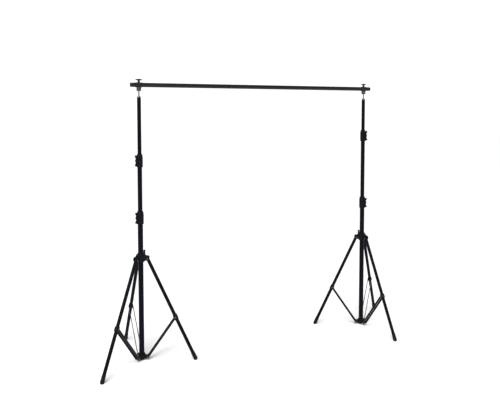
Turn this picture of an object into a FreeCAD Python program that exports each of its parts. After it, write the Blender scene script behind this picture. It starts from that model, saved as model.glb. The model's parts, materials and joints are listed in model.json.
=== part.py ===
import FreeCAD, Part
import math
import os
from types import SimpleNamespace

import Sketcher
from FreeCAD import Placement, Rotation, Vector

# Background support system: two folding light stands that carry a crossbar between them.
# Millimetres, +Z up. The origin is on the floor, midway between the two masts, which stand on the X axis.
# Each stand is built in a frame of its own, with its mast on Z. The left one is moved along -X, and the
# right one is turned half round and moved along +X.

SIZES = (
    # overall
    ("mast_span", 1484, "between the axes of the two masts"),
    ("bar_height", 1600, "crossbar's axis above the floor"),
    ("bar_overhang", 50, "mast's axis to the end of the crossbar, cap included"),
    ("leg_length", 650, "crown pivot to the centre of the foot's round end"),
    ("leg_angle", 24.9, "open leg from the vertical, degrees"),
    ("leg_heading", 220, "direction of a stand's first leg, degrees"),
    # tubes
    ("lower_od", 30, "lower tube, outside"),
    ("lower_wall", 1.5, "lower tube, wall"),
    ("lower_length", 816, "lower tube"),
    ("mid_od", 26, "middle tube, outside"),
    ("mid_wall", 1.2, "middle tube, wall"),
    ("mid_length", 780, "middle tube"),
    ("left_mid_rise", 329, "left middle tube's top above the lower tube's top"),
    ("right_mid_rise", 450, "right middle tube's top above the lower tube's top"),
    ("top_od", 22, "top tube, outside"),
    ("top_wall", 1.2, "top tube, wall"),
    ("top_length", 740, "top tube"),
    ("leg_od", 20, "leg tube, outside"),
    ("leg_wall", 1.2, "leg tube, wall"),
    ("leg_plug", 34, "solid end of the leg, below its pivot"),
    ("bar_od", 25, "crossbar, outside"),
    ("bar_wall", 1.5, "crossbar, wall"),
    ("bar_neck", 60, "reduced end of one crossbar half, inside the other"),
    ("bar_joint", 6, "length over which the neck is joined to its own half"),
    ("joint_inset", 0.5, "joint below the crossbar's surface"),
    # fits
    ("slide_gap", 0.08, "radial running clearance of tubes in collars and bushes"),
    ("pin_gap", 0.08, "radial running clearance of pins and screws"),
    ("seat_gap", 0.04, "radial clearance of pieces that are fixed together"),
    ("side_gap", 0.5, "clearance beside a hinged piece"),
    ("face_gap", 0.3, "clearance between faces that turn past each other"),
    ("cut_past", 5, "how far a hole or slot is cut past the piece"),
    ("root_wall", 2, "wall left behind the root of a boss or an arm"),
    # spider, fixed at the foot of the mast
    ("spider_lift", 8, "underside above the floor"),
    ("spider_floor", 4, "bottom of the hub, under the tube"),
    ("spider_od", 42, "hub"),
    ("spider_high", 30, "hub"),
    ("spider_reach", 37, "mast's axis to the brace pin"),
    ("spider_pin_height", 20, "brace pin above the floor"),
    ("spider_bevel", 1.5, "bevel at the top of the hub"),
    ("tongue_high", 16, "arm that a brace straddles"),
    ("tongue_wide", 23, "arm that a brace straddles"),
    # crown, sliding on the lower tube
    ("crown_od", 44, "hub"),
    ("crown_neck_od", 37, "top of the hub's cone"),
    ("crown_above", 35, "top of the hub above the leg pivots"),
    ("crown_below", 18, "bottom of the hub below the leg pivots"),
    ("crown_reach", 40, "mast's axis to a leg pivot"),
    ("cheek_wall", 3.2, "wall of the arm on each side of a leg"),
    ("arm_above", 17, "top of an arm above its pivot"),
    ("arm_below", 9, "bottom of an arm below its pivot"),
    ("arm_end", 9, "end of an arm beyond its pivot"),
    ("roof_wall", 4.5, "top of an arm"),
    ("arm_bite", 4, "root of an arm inside the hub"),
    ("arm_rise", 2, "extra height of an arm at its root"),
    ("arm_bevel", 4, "lower bevels of an arm"),
    ("arm_nose", 6, "upper bevel at the end of an arm"),
    ("slot_room", 2, "room between the hub and the leg in its slot"),
    ("crown_bevel", 2, "bevel at the bottom of the hub"),
    ("crown_boss_od", 14, "boss of the lock screw"),
    ("crown_boss_reach", 26, "mast's axis to the face of the lock screw's boss"),
    ("crown_boss_height", 25, "lock screw above the leg pivots"),
    ("left_lock_heading", 40, "direction of the left lock screw in its stand's frame, degrees"),
    ("right_lock_heading", 280, "direction of the right lock screw in its stand's frame, degrees"),
    # pins
    ("pin_od", 6, "hinge pin"),
    ("pin_head_od", 10, "head of a hinge pin"),
    ("pin_head", 2, "thickness of a head"),
    # feet
    ("foot_od", 23, "rubber foot"),
    ("foot_grip", 38, "length of a foot over its leg"),
    ("foot_lift", 8.5, "centre of the round end above the floor"),
    ("leg_stop", 2, "leg tube stops this short of the round end's centre"),
    ("foot_flat", 0.4, "radius of the flat left at the tip of the round end"),
    ("foot_bevel", 0.8, "bevel at the foot's upper rim"),
    ("leg_flat", 0.5, "radius of the flat left on the leg's round end"),
    # braces
    ("brace_grip", 378, "crown pivot to the brace's rivet, along the leg"),
    ("strip_wide", 13, "brace strip"),
    ("strip_thick", 1.6, "brace strip"),
    ("rivet_head_od", 9, "rivet at the leg"),
    ("rivet_head", 1.6, "rivet at the leg"),
    ("bracket_long", 26, "sleeve on the leg at the brace"),
    ("bracket_deep", 24, "sleeve on the leg at the brace, across the leg"),
    ("bracket_flat", 10, "flat left on the narrow sides of that sleeve"),
    # clamp collars
    ("collar_high", 74, "clamp collar"),
    ("collar_seat", 26, "length of a collar over its own tube"),
    ("collar_wall", 5, "wall over its own tube"),
    ("collar_lip", 3, "wall at the top of the shoulder"),
    ("collar_shoulder", 13, "sloping top of a collar"),
    ("collar_slit", 2.5, "slit that lets a collar close"),
    ("slit_start", 2, "lower end of the slit above the collar's own tube"),
    ("collar_bevel", 1.5, "bevel at a collar's lower edge"),
    ("boss_od", 18, "boss of a clamp screw"),
    ("boss_out", 2.5, "boss of a clamp screw, beyond the collar"),
    # knobs
    ("screw_od", 8, "shank of a knob"),
    ("hub_od", 17, "hub of a wing knob"),
    ("hub_deep", 8, "hub of a wing knob"),
    ("lobe_od", 13, "rounded end of a wing"),
    ("wing_thick", 9, "wing of a knob"),
    ("hub_bevel", 1.5, "bevel round the face of a hub"),
    ("web_inset", 0.5, "web between the wings, inside the faces of the hub"),
    ("web_share", 0.8, "width of the web as a share of the hub and the lobes"),
    ("clamp_span", 64, "clamp knob over its wings"),
    ("lock_span", 40, "crown knob over its wings"),
    ("left_knob_heading", 213, "direction of the left clamp knobs in their stand's frame, degrees"),
    ("right_knob_heading", 110, "direction of the right clamp knobs in their stand's frame, degrees"),
    # bushes at the lower ends of the sliding tubes
    ("bush_long", 14, "guide ring below a tube"),
    ("bush_neck", 16, "neck inside a tube"),
    ("bush_bore", 10, "air hole"),
    ("bush_bevel", 1, "bevel at the lower edge"),
    # spigot on the top tube
    ("plug_neck", 22, "plug inside the top tube"),
    ("plug_rim", 2, "rim on the end of the top tube"),
    ("plug_cone", 8, "cone above the rim"),
    ("plug_tip_od", 11, "top of the cone"),
    ("stud_od", 7, "threaded stud"),
    ("stud_show", 28, "stud between the plug and the socket"),
    ("stud_bevel", 1, "bevel at the stud's end"),
    ("stud_short", 1, "stud's end below the bottom of the nut's bore"),
    ("stud_play", 0.6, "radial room round the stud in the crossbar's walls"),
    # socket under each end of the crossbar
    ("socket_wall", 2, "sleeve round the crossbar"),
    ("socket_long", 38, "sleeve round the crossbar"),
    ("stem_od", 26, "stem under the crossbar"),
    ("stem_deep", 22, "stem below the crossbar"),
    ("stem_bevel", 4, "bevel at the stem's lower edge"),
    # wing nut on top of each socket
    ("nut_od", 14, "base of a wing nut"),
    ("nut_high", 20, "wing nut"),
    ("nut_bore", 14, "depth of the threaded bore"),
    ("nut_span", 36, "wing nut over its wings"),
    ("nut_wing", 6, "thickness of its wings"),
    ("nut_head", 9, "height of the head that the wings grow from"),
    ("nut_waist", 1, "waist of the boss, inside its base"),
    ("nut_flare", 1.5, "head, beyond the base"),
    ("nut_bevel", 2, "bevel at the top of the head"),
    # caps in the ends of the crossbar
    ("cap_dome", 7, "cap outside the crossbar"),
    ("cap_neck", 16, "cap inside the crossbar"),
    ("cap_rim", 2.8, "straight edge of a cap"),
    ("cap_side", 5.6, "end of a cap's steep side"),
    ("cap_side_in", 2.5, "end of the steep side below the crossbar's surface"),
    ("cap_face_in", 6, "cap's flat face below the crossbar's surface"),
)

LEGS = (0, 120, 240)
OUT = "parts"

# Underside of a nut's wing: share of the wings' reach, and height above the bottom of the head.
NUT_WING_UNDERSIDE = ((0.45, 0), (0.85, 2.5), (1, 5))
# Upper side: share of the reach, and depth below the nut's top.
NUT_WING_TOP = ((1, 1), (0.6, 1.5))
# Where a wing starts inside the boss, as a share of the base's radius, and its depth below the nut's top there.
NUT_WING_ROOT = (0.7, 3)

DOC = FreeCAD.newDocument("BackgroundSupport")


# ---- sizes that carry their sheet formula -------------------------------------------------------

class Size:
    """A number kept together with the formula that gives it from the sheet."""

    def __init__(self, number, formula):
        self.number = number
        self.formula = formula

    def __add__(self, other):
        other = as_size(other)
        return Size(self.number + other.number, f"({self.formula} + {other.formula})")

    def __sub__(self, other):
        other = as_size(other)
        return Size(self.number - other.number, f"({self.formula} - {other.formula})")

    def __mul__(self, other):
        other = as_size(other)
        return Size(self.number * other.number, f"({self.formula} * {other.formula})")

    def __truediv__(self, other):
        other = as_size(other)
        return Size(self.number / other.number, f"({self.formula} / {other.formula})")

    def __rsub__(self, other):
        return as_size(other) - self

    def __neg__(self):
        return as_size(0) - self

    __radd__ = __add__
    __rmul__ = __mul__


def as_size(item):
    """A plain number as a Size."""
    if isinstance(item, Size):
        return item
    return Size(float(item), str(float(item)))


def sine(angle):
    angle = as_size(angle)
    return Size(math.sin(math.radians(angle.number)), f"sin({angle.formula})")


def cosine(angle):
    angle = as_size(angle)
    return Size(math.cos(math.radians(angle.number)), f"cos({angle.formula})")


def distance(across, up):
    return Size(math.hypot(across.number, up.number), f"hypot({across.formula}; {up.formula})")


def slope(across, up):
    """Angle from the vertical of a line that goes across and up, in degrees."""
    angle = math.degrees(math.atan2(across.number, up.number))
    return Size(angle, f"(atan2({across.formula}; {up.formula}) / 1deg)")


def make_sheet():
    """The spreadsheet of driving sizes, and the same sizes as a namespace."""
    sheet = DOC.addObject("Spreadsheet::Sheet", "Sizes")
    for row, (alias, value, meaning) in enumerate(SIZES, start=1):
        sheet.set(f"A{row}", alias)
        sheet.set(f"B{row}", str(value))
        sheet.setAlias(f"B{row}", alias)
        sheet.set(f"C{row}", meaning)
    DOC.recompute()
    names = (alias for alias, value, meaning in SIZES)
    return SimpleNamespace(**{name: Size(float(sheet.get(name)), f"Sizes.{name}") for name in names})


s = make_sheet()

# Heights and places that follow from the sheet.
crown_height = s.foot_lift + s.leg_length * cosine(s.leg_angle)
tube_foot = s.spider_lift + s.spider_floor
lower_top = tube_foot + s.lower_length
clamp_height = s.collar_high / 2
socket_base = s.bar_height - s.bar_od / 2 - s.stem_deep
top_top = socket_base - s.stud_show - s.plug_cone - s.plug_rim
nut_base = s.bar_height + s.bar_od / 2 + s.socket_wall + s.face_gap
rivet_reach = s.crown_reach + s.brace_grip * sine(s.leg_angle)
rivet_height = crown_height - s.brace_grip * cosine(s.leg_angle)
brace_length = distance(rivet_reach - s.spider_reach, rivet_height - s.spider_pin_height)
brace_angle = slope(rivet_reach - s.spider_reach, rivet_height - s.spider_pin_height)
strip_inside = s.tongue_wide / 2 + s.side_gap
strip_outside = strip_inside + s.strip_thick
cheek_inside = s.leg_od / 2 + s.side_gap
cheek_outside = cheek_inside + s.cheek_wall
bar_half = s.mast_span / 2 + s.bar_overhang - s.cap_dome


# ---- modelling helpers --------------------------------------------------------------------------

def bind(thing, prop, item):
    """Set a property to a size, and tie it to the sheet."""
    item = as_size(item)
    if thing.TypeId != "Sketcher::SketchObject":
        setattr(thing, prop, item.number)
    thing.setExpression(prop, item.formula)


def new_body(label):
    body = DOC.addObject("PartDesign::Body", label)
    body.AllowCompound = True
    return body


def origin_part(body, role):
    """One of a body's own origin planes or axes."""
    return next(part for part in body.Origin.OriginFeatures if part.Role == role)


def plane_sketch(body, plane):
    """An empty sketch on one of the body's origin planes."""
    sketch = body.newObject("Sketcher::SketchObject", body.Label + "_sketch")
    sketch.AttachmentSupport = [(origin_part(body, plane), "")]
    sketch.MapMode = "FlatFace"
    return sketch


def turned_sketch(body, turn):
    """A sketch on the XZ plane, turned about the Z axis."""
    sketch = plane_sketch(body, "XZ_Plane")
    spin = f"create(<<rotation>>; create(<<vector>>; 0; 1; 0); {turn.formula})"
    sketch.setExpression("AttachmentOffset", f"create(<<placement>>; create(<<vector>>; 0; 0; 0); {spin})")
    return sketch


def new_sketch(body, plane, lift=0):
    """A sketch on one of the body's origin planes, lifted along the plane's normal."""
    sketch = plane_sketch(body, plane)
    sketch.AttachmentOffset = Placement(Vector(0, 0, as_size(lift).number), Rotation())
    sketch.setExpression("AttachmentOffset.Base.z", as_size(lift).formula)
    return sketch


def fix_point(sketch, edge, end, across, up):
    """Hold one point of an edge at a place measured from the sketch's origin."""
    for kind, axis, item in (("DistanceX", -2, as_size(across)), ("DistanceY", -1, as_size(up))):
        if item.formula == "0.0":
            sketch.addConstraint(Sketcher.Constraint("PointOnObject", edge, end, axis))
        else:
            index = sketch.addConstraint(Sketcher.Constraint(kind, -1, 1, edge, end, item.number))
            sketch.setExpression(f"Constraints[{index}]", item.formula)


def draw_outline(sketch, points):
    """A closed outline of straight edges through the points."""
    corners = [(as_size(across), as_size(up)) for across, up in points]
    places = [Vector(across.number, up.number, 0) for across, up in corners]
    first = sketch.GeometryCount
    for index, place in enumerate(places):
        sketch.addGeometry(Part.LineSegment(place, places[(index + 1) % len(places)]), False)
    for index in range(len(places)):
        following = first + (index + 1) % len(places)
        sketch.addConstraint(Sketcher.Constraint("Coincident", first + index, 2, following, 1))
    for index, (across, up) in enumerate(corners):
        fix_point(sketch, first + index, 1, across, up)
    return sketch


def draw_circle(sketch, radius, across=0, up=0):
    across, up, radius = as_size(across), as_size(up), as_size(radius)
    centre = Vector(across.number, up.number, 0)
    edge = sketch.addGeometry(Part.Circle(centre, Vector(0, 0, 1), radius.number), False)
    fix_point(sketch, edge, 3, across, up)
    index = sketch.addConstraint(Sketcher.Constraint("Radius", edge, radius.number))
    sketch.setExpression(f"Constraints[{index}]", radius.formula)
    return sketch


def draw_strip(sketch, length, radius):
    """A strip with round ends, from the origin up to the length."""
    length, radius = as_size(length), as_size(radius)
    low = Part.Circle(Vector(0, 0, 0), Vector(0, 0, 1), radius.number)
    high = Part.Circle(Vector(0, length.number, 0), Vector(0, 0, 1), radius.number)
    corners = [Vector(side * radius.number, up, 0) for side in (1, -1) for up in (0, length.number)]
    sketch.addGeometry(Part.ArcOfCircle(low, math.pi, 2 * math.pi), False)
    sketch.addGeometry(Part.LineSegment(corners[0], corners[1]), False)
    sketch.addGeometry(Part.ArcOfCircle(high, 0, math.pi), False)
    sketch.addGeometry(Part.LineSegment(corners[3], corners[2]), False)
    for edge in range(4):
        sketch.addConstraint(Sketcher.Constraint("Tangent", edge, 2, (edge + 1) % 4, 1))
    fix_point(sketch, 0, 3, 0, 0)
    fix_point(sketch, 2, 3, 0, length)
    index = sketch.addConstraint(Sketcher.Constraint("Radius", 0, radius.number))
    sketch.setExpression(f"Constraints[{index}]", radius.formula)
    return sketch


def add_feature(body, kind, sketch, length, symmetric=False, backward=False):
    """A pad or a pocket of the sketch."""
    feature = body.newObject("PartDesign::" + kind, f"{body.Label}_{kind}")
    feature.Profile = sketch
    feature.SideType = "Symmetric" if symmetric else "One side"
    feature.Reversed = backward
    bind(feature, "Length", length)
    return feature


def add_revolution(body, sketch, axis="V_Axis"):
    feature = body.newObject("PartDesign::Revolution", body.Label + "_turned")
    feature.Profile = sketch
    feature.ReferenceAxis = (sketch, [axis])
    feature.Angle = 360
    return feature


def repeat_round(body, features):
    """Repeat features at the three legs, round the body's Z axis."""
    pattern = body.newObject("PartDesign::PolarPattern", body.Label + "_round")
    pattern.Originals = features
    pattern.Axis = (origin_part(body, "Z_Axis"), [""])
    pattern.Angle = 360
    pattern.Occurrences = len(LEGS)
    body.Tip = pattern
    return pattern


def ease_edges(body, kind, amount, wanted):
    """Round or bevel the edges of the body that the test picks."""
    DOC.recompute()
    base = body.Tip
    names = [f"Edge{n}" for n, edge in enumerate(base.Shape.Edges, start=1) if wanted(edge)]
    feature = body.newObject("PartDesign::" + kind, f"{body.Label}_{kind}")
    feature.Base = (base, names)
    bind(feature, "Radius" if kind == "Fillet" else "Size", amount)
    return feature


def level_circle(height, radius):
    """A test for the round edges that lie level at a height and have a radius."""
    def wanted(edge):
        if edge.Curve.TypeId != "Part::GeomCircle":
            return False
        close_radius = abs(edge.Curve.Radius - radius.number) < 0.01
        return close_radius and abs(edge.BoundBox.ZMin - height.number) < 0.01 > edge.BoundBox.ZLength
    return wanted


def upright_edge(length):
    """A test for the edges that stand as high as a length."""
    def wanted(edge):
        return edge.BoundBox.ZLength > length.number - 0.01
    return wanted


def near_mast(middle, test):
    """The same test, for edges about a mast's place on the X axis only."""
    def wanted(edge):
        return abs(edge.BoundBox.Center.x - middle.number) < 1 and test(edge)
    return wanted


def tie_placement(thing, base, turns):
    """Tie a sub-part's place to the sheet: a base point, then turns about Z and Y."""
    across, along, up = (as_size(item).formula for item in base)
    heading, lean = (as_size(item).formula for item in turns)
    vector = f"create(<<vector>>; {across}; {along}; {up})"
    about_z = f"create(<<rotation>>; create(<<vector>>; 0; 0; 1); {heading})"
    about_y = f"create(<<rotation>>; create(<<vector>>; 0; 1; 0); {lean})"
    thing.setExpression("Placement", f"create(<<placement>>; {vector}; {about_z} * {about_y})")


def make_tube(label, outer, wall, length):
    """A round tube that stands on its body's origin."""
    body = new_body(label)
    sketch = draw_circle(new_sketch(body, "XY_Plane"), outer / 2)
    draw_circle(sketch, outer / 2 - wall)
    add_feature(body, "Pad", sketch, length)
    return body


# ---- one stand ----------------------------------------------------------------------------------

class Stand:
    """Where one stand is, and how its pieces are placed in it."""

    def __init__(self, name, side, turn, mid_rise, knob_heading, lock_heading):
        self.name = name
        self.side = side
        self.turn = turn
        self.mid_top = lower_top + mid_rise
        self.knob_heading = knob_heading
        self.lock_heading = lock_heading

    def place(self, body, height, heading=0, reach=0, lean=0):
        """Place a body at a height, and at a reach from the mast in a direction."""
        direction = as_size(heading) + self.turn
        across = self.side * s.mast_span / 2 + reach * cosine(direction)
        along = reach * sine(direction)
        tie_placement(body, (across, along, height), (direction, lean))

    def label(self, piece):
        return f"{self.name}_{piece}"


def make_lower_tube(stand):
    body = make_tube(stand.label("lower_tube"), s.lower_od, s.lower_wall, s.lower_length)
    stand.place(body, tube_foot)


def make_spider(stand):
    """Hub at the foot of the mast, with a tongue for each brace."""
    body = new_body(stand.label("spider"))
    bore = s.lower_od / 2 + s.seat_gap
    outline = (
        (0, 0),
        (s.spider_od / 2, 0),
        (s.spider_od / 2, s.spider_high),
        (bore, s.spider_high),
        (bore, s.spider_floor),
        (0, s.spider_floor),
    )
    add_revolution(body, draw_outline(new_sketch(body, "XZ_Plane"), outline))
    ease_edges(body, "Chamfer", s.spider_bevel, level_circle(s.spider_high, s.spider_od / 2))
    pin_up = s.spider_pin_height - s.spider_lift
    half = s.tongue_high / 2
    root = s.lower_od / 2 + s.root_wall
    block = (
        (root, pin_up - half),
        (s.spider_reach, pin_up - half),
        (s.spider_reach, pin_up + half),
        (root, pin_up + half),
    )
    tongue = add_feature(body, "Pad", draw_outline(new_sketch(body, "XZ_Plane"), block), s.tongue_wide, True)
    round_end = draw_circle(new_sketch(body, "XZ_Plane"), half, s.spider_reach, pin_up)
    end = add_feature(body, "Pad", round_end, s.tongue_wide, True)
    hole = draw_circle(new_sketch(body, "XZ_Plane"), s.pin_od / 2, s.spider_reach, pin_up)
    bore_hole = add_feature(body, "Pocket", hole, s.tongue_wide * 2, True)
    repeat_round(body, [tongue, end, bore_hole])
    stand.place(body, s.spider_lift, s.leg_heading)


def make_pins(stand, piece, height, reach, grip):
    """The three hinge pins of a hub, each with a head at both ends; grip is half the length held."""
    body = new_body(stand.label(piece))
    shank = draw_circle(new_sketch(body, "XZ_Plane"), s.pin_od / 2, reach)
    features = [add_feature(body, "Pad", shank, grip * 2, True)]
    for side in (1, -1):
        plane = new_sketch(body, "XZ_Plane", side * grip)
        head = draw_circle(plane, s.pin_head_od / 2, reach)
        features.append(add_feature(body, "Pad", head, s.pin_head, backward=side < 0))
    repeat_round(body, features)
    stand.place(body, height, s.leg_heading)


def crown_arm_outline():
    """Side view of a crown arm, from the hub out past the leg pivot."""
    root = s.crown_od / 2 - s.arm_bite
    end = s.crown_reach + s.arm_end
    return (
        (root, -s.arm_below - s.arm_bevel),
        (s.crown_reach - s.arm_bevel, -s.arm_below),
        (end - s.arm_bevel, -s.arm_below),
        (end, s.arm_bevel - s.arm_below),
        (end, s.arm_above - s.arm_nose),
        (end - s.arm_nose, s.arm_above),
        (root, s.arm_above + s.arm_rise),
    )


def crown_slot_outline():
    """Side view of the slot that a leg hangs in: open below and outwards, closed by the roof."""
    inner = s.crown_reach - s.leg_od / 2 - s.slot_room
    outer = s.crown_reach + s.arm_end + s.cut_past
    low = -s.arm_below - s.arm_bevel - s.cut_past
    return (
        (inner, low),
        (outer, low),
        (outer, s.arm_above - s.roof_wall),
        (inner, s.arm_above - s.roof_wall),
    )


def make_crown(stand):
    """Sliding hub with three forked arms and the boss of its lock screw."""
    body = new_body(stand.label("crown"))
    bore = s.lower_od / 2 + s.slide_gap
    outline = (
        (bore, -s.crown_below),
        (s.crown_od / 2 - s.crown_bevel, -s.crown_below),
        (s.crown_od / 2, s.crown_bevel - s.crown_below),
        (s.crown_od / 2, s.arm_above),
        (s.crown_neck_od / 2, s.crown_above),
        (bore, s.crown_above),
    )
    add_revolution(body, draw_outline(new_sketch(body, "XZ_Plane"), outline))
    boss_plane = new_sketch(body, "YZ_Plane", bore + s.root_wall)
    boss = draw_circle(boss_plane, s.crown_boss_od / 2, 0, s.crown_boss_height)
    add_feature(body, "Pad", boss, s.crown_boss_reach - bore - s.root_wall)
    screw_hole = draw_circle(new_sketch(body, "YZ_Plane"), s.screw_od / 2 + s.pin_gap, 0, s.crown_boss_height)
    add_feature(body, "Pocket", screw_hole, s.crown_boss_reach + s.cut_past, backward=True)
    turn = s.leg_heading - stand.lock_heading
    add_crown_arms(body, turn)
    stand.place(body, crown_height, stand.lock_heading)


def add_crown_arms(body, turn):
    """Three arms, the first turned from the lock screw's boss."""
    features = []
    for kind, outline, width in (
        ("Pad", crown_arm_outline(), cheek_outside * 2),
        ("Pocket", crown_slot_outline(), cheek_inside * 2),
    ):
        sketch = draw_outline(turned_sketch(body, turn), outline)
        features.append(add_feature(body, kind, sketch, width, True))
    hole = draw_circle(turned_sketch(body, turn), s.pin_od / 2, s.crown_reach)
    features.append(add_feature(body, "Pocket", hole, cheek_outside * 4, True))
    repeat_round(body, features)


def make_leg(stand, number, heading):
    """Leg tube with a solid round end at the crown; its pivot is the body's origin."""
    body = new_body(stand.label(f"leg_{number}"))
    length = s.leg_length - s.leg_stop
    rod = draw_circle(new_sketch(body, "XY_Plane", -length), s.leg_od / 2)
    add_feature(body, "Pad", rod, length + s.leg_od / 2)
    bore = draw_circle(new_sketch(body, "XY_Plane", -length), s.leg_od / 2 - s.leg_wall)
    add_feature(body, "Pocket", bore, length - s.leg_plug, backward=True)
    hole = draw_circle(new_sketch(body, "XZ_Plane"), s.pin_od / 2 + s.pin_gap)
    add_feature(body, "Pocket", hole, s.leg_od * 2, True)
    ease_edges(body, "Fillet", s.leg_od / 2 - s.leg_flat, level_circle(s.leg_od / 2, s.leg_od / 2))
    stand.place(body, crown_height, heading, s.crown_reach, -s.leg_angle)


def make_foot(stand, number, heading):
    """Rubber foot over the leg's end, worn flat where it stands on the floor."""
    boot = new_body(stand.label(f"boot_{number}"))
    low = s.leg_length + s.foot_od / 2
    plug = draw_circle(new_sketch(boot, "XY_Plane", -low), s.foot_od / 2)
    add_feature(boot, "Pad", plug, low - s.leg_length + s.foot_grip)
    cup = draw_circle(new_sketch(boot, "XY_Plane", s.foot_grip - s.leg_length), s.leg_od / 2 + s.seat_gap)
    add_feature(boot, "Pocket", cup, s.foot_grip - s.leg_stop)
    ease_edges(boot, "Fillet", s.foot_od / 2 - s.foot_flat, level_circle(-low, s.foot_od / 2))
    ease_edges(boot, "Chamfer", s.foot_bevel, level_circle(s.foot_grip - s.leg_length, s.foot_od / 2))
    ground = DOC.addObject("Part::Box", stand.label(f"ground_{number}"))
    side = s.foot_od * 3
    for prop in ("Length", "Width", "Height"):
        bind(ground, prop, side)
    across = s.leg_length * sine(s.leg_angle) - side / 2
    up = -crown_height - side
    turned_across = across * cosine(s.leg_angle) + up * sine(s.leg_angle)
    turned_up = up * cosine(s.leg_angle) - across * sine(s.leg_angle)
    tie_placement(ground, (turned_across, -side / 2, turned_up), (0, s.leg_angle))
    foot = DOC.addObject("Part::Cut", stand.label(f"foot_{number}"))
    foot.Base = boot
    foot.Tool = ground
    stand.place(foot, crown_height, heading, s.crown_reach, -s.leg_angle)


def make_bracket(stand, number, heading):
    """Sleeve on the leg, flat on both sides, that the brace's strips lie against."""
    body = new_body(stand.label(f"leg_bracket_{number}"))
    half_wide = s.tongue_wide / 2
    half_deep = s.bracket_deep / 2
    block = (
        (-half_deep, -half_wide),
        (half_deep, -half_wide),
        (half_deep, half_wide),
        (-half_deep, half_wide),
    )
    low = -s.brace_grip - s.bracket_long / 2
    add_feature(body, "Pad", draw_outline(new_sketch(body, "XY_Plane", low), block), s.bracket_long)
    ease_edges(body, "Fillet", half_deep - s.bracket_flat / 2, upright_edge(s.bracket_long))
    bore = draw_circle(new_sketch(body, "XY_Plane", low), s.leg_od / 2 + s.seat_gap)
    add_feature(body, "Pocket", bore, s.bracket_long, backward=True)
    stand.place(body, crown_height, heading, s.crown_reach, -s.leg_angle)


def make_brace(stand, number, heading):
    """Two flat strips, one on each side of the leg, with the rivet's heads at their upper end."""
    body = new_body(stand.label(f"brace_{number}"))
    for side in (1, -1):
        strip = draw_strip(new_sketch(body, "XZ_Plane", side * strip_inside), brace_length, s.strip_wide / 2)
        add_feature(body, "Pad", strip, s.strip_thick, backward=side < 0)
        head = draw_circle(new_sketch(body, "XZ_Plane", side * strip_outside), s.rivet_head_od / 2, 0, brace_length)
        add_feature(body, "Pad", head, s.rivet_head, backward=side < 0)
    hole = draw_circle(new_sketch(body, "XZ_Plane"), s.pin_od / 2 + s.pin_gap)
    add_feature(body, "Pocket", hole, strip_outside * 4, True)
    stand.place(body, s.spider_pin_height, heading, s.spider_reach, brace_angle)


def make_collar(stand, piece, own_od, inner_od, tube_top):
    """Clamp collar: it is fixed on its own tube and closes on the tube that slides through it."""
    body = new_body(stand.label(piece))
    seat = own_od / 2 + s.seat_gap
    bore = inner_od / 2 + s.slide_gap
    outside = own_od / 2 + s.collar_wall
    outline = (
        (seat, 0),
        (outside - s.collar_bevel, 0),
        (outside, s.collar_bevel),
        (outside, s.collar_high - s.collar_shoulder),
        (inner_od / 2 + s.collar_lip, s.collar_high),
        (bore, s.collar_high),
        (bore, s.collar_seat),
        (seat, s.collar_seat),
    )
    add_revolution(body, draw_outline(new_sketch(body, "XZ_Plane"), outline))
    boss = draw_circle(new_sketch(body, "YZ_Plane", bore + s.root_wall), s.boss_od / 2, 0, clamp_height)
    add_feature(body, "Pad", boss, outside + s.boss_out - bore - s.root_wall)
    hole = draw_circle(new_sketch(body, "YZ_Plane"), s.screw_od / 2 + s.pin_gap, 0, clamp_height)
    add_feature(body, "Pocket", hole, outside + s.boss_out + s.cut_past, backward=True)
    slit = (
        (0, -s.collar_slit / 2),
        (-outside - s.cut_past, -s.collar_slit / 2),
        (-outside - s.cut_past, s.collar_slit / 2),
        (0, s.collar_slit / 2),
    )
    top_plane = new_sketch(body, "XY_Plane", s.collar_seat + s.slit_start)
    add_feature(body, "Pocket", draw_outline(top_plane, slit), s.collar_high, backward=True)
    stand.place(body, tube_top - s.collar_seat, stand.knob_heading)


def make_wing_knob(label, tip, base, span):
    """Wing knob on the X axis: a screw, a hub and two wings with round lobes."""
    body = new_body(label)
    shank = s.screw_od / 2
    hub = s.hub_od / 2
    face = base + s.hub_deep
    outline = (
        (tip, 0),
        (tip, shank),
        (base, shank),
        (base, hub),
        (face - s.hub_bevel, hub),
        (face, hub - s.hub_bevel),
        (face, 0),
    )
    add_revolution(body, draw_outline(new_sketch(body, "XY_Plane"), outline), "H_Axis")
    lobe = s.lobe_od / 2
    lobe_up = span / 2 - lobe
    lobe_out = base + lobe
    web = (
        (base + s.web_inset, -lobe_up),
        (base + s.web_inset, lobe_up),
        (lobe_out + lobe * s.web_share, lobe_up),
        (face - s.web_inset, hub * s.web_share),
        (face - s.web_inset, -hub * s.web_share),
        (lobe_out + lobe * s.web_share, -lobe_up),
    )
    add_feature(body, "Pad", draw_outline(new_sketch(body, "XZ_Plane"), web), s.wing_thick, True)
    for up in (lobe_up, -lobe_up):
        end = draw_circle(new_sketch(body, "XZ_Plane"), lobe, lobe_out, up)
        add_feature(body, "Pad", end, s.wing_thick, True)
    return body


def make_clamp_knob(stand, piece, own_od, inner_od, tube_top):
    tip = inner_od / 2 + s.face_gap
    base = own_od / 2 + s.collar_wall + s.boss_out + s.side_gap
    body = make_wing_knob(stand.label(piece), tip, base, s.clamp_span)
    stand.place(body, tube_top - s.collar_seat + clamp_height, stand.knob_heading)


def make_lock_knob(stand):
    tip = s.lower_od / 2 + s.face_gap
    base = s.crown_boss_reach + s.side_gap
    body = make_wing_knob(stand.label("crown_lock_knob"), tip, base, s.lock_span)
    stand.place(body, crown_height + s.crown_boss_height, stand.lock_heading)


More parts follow.
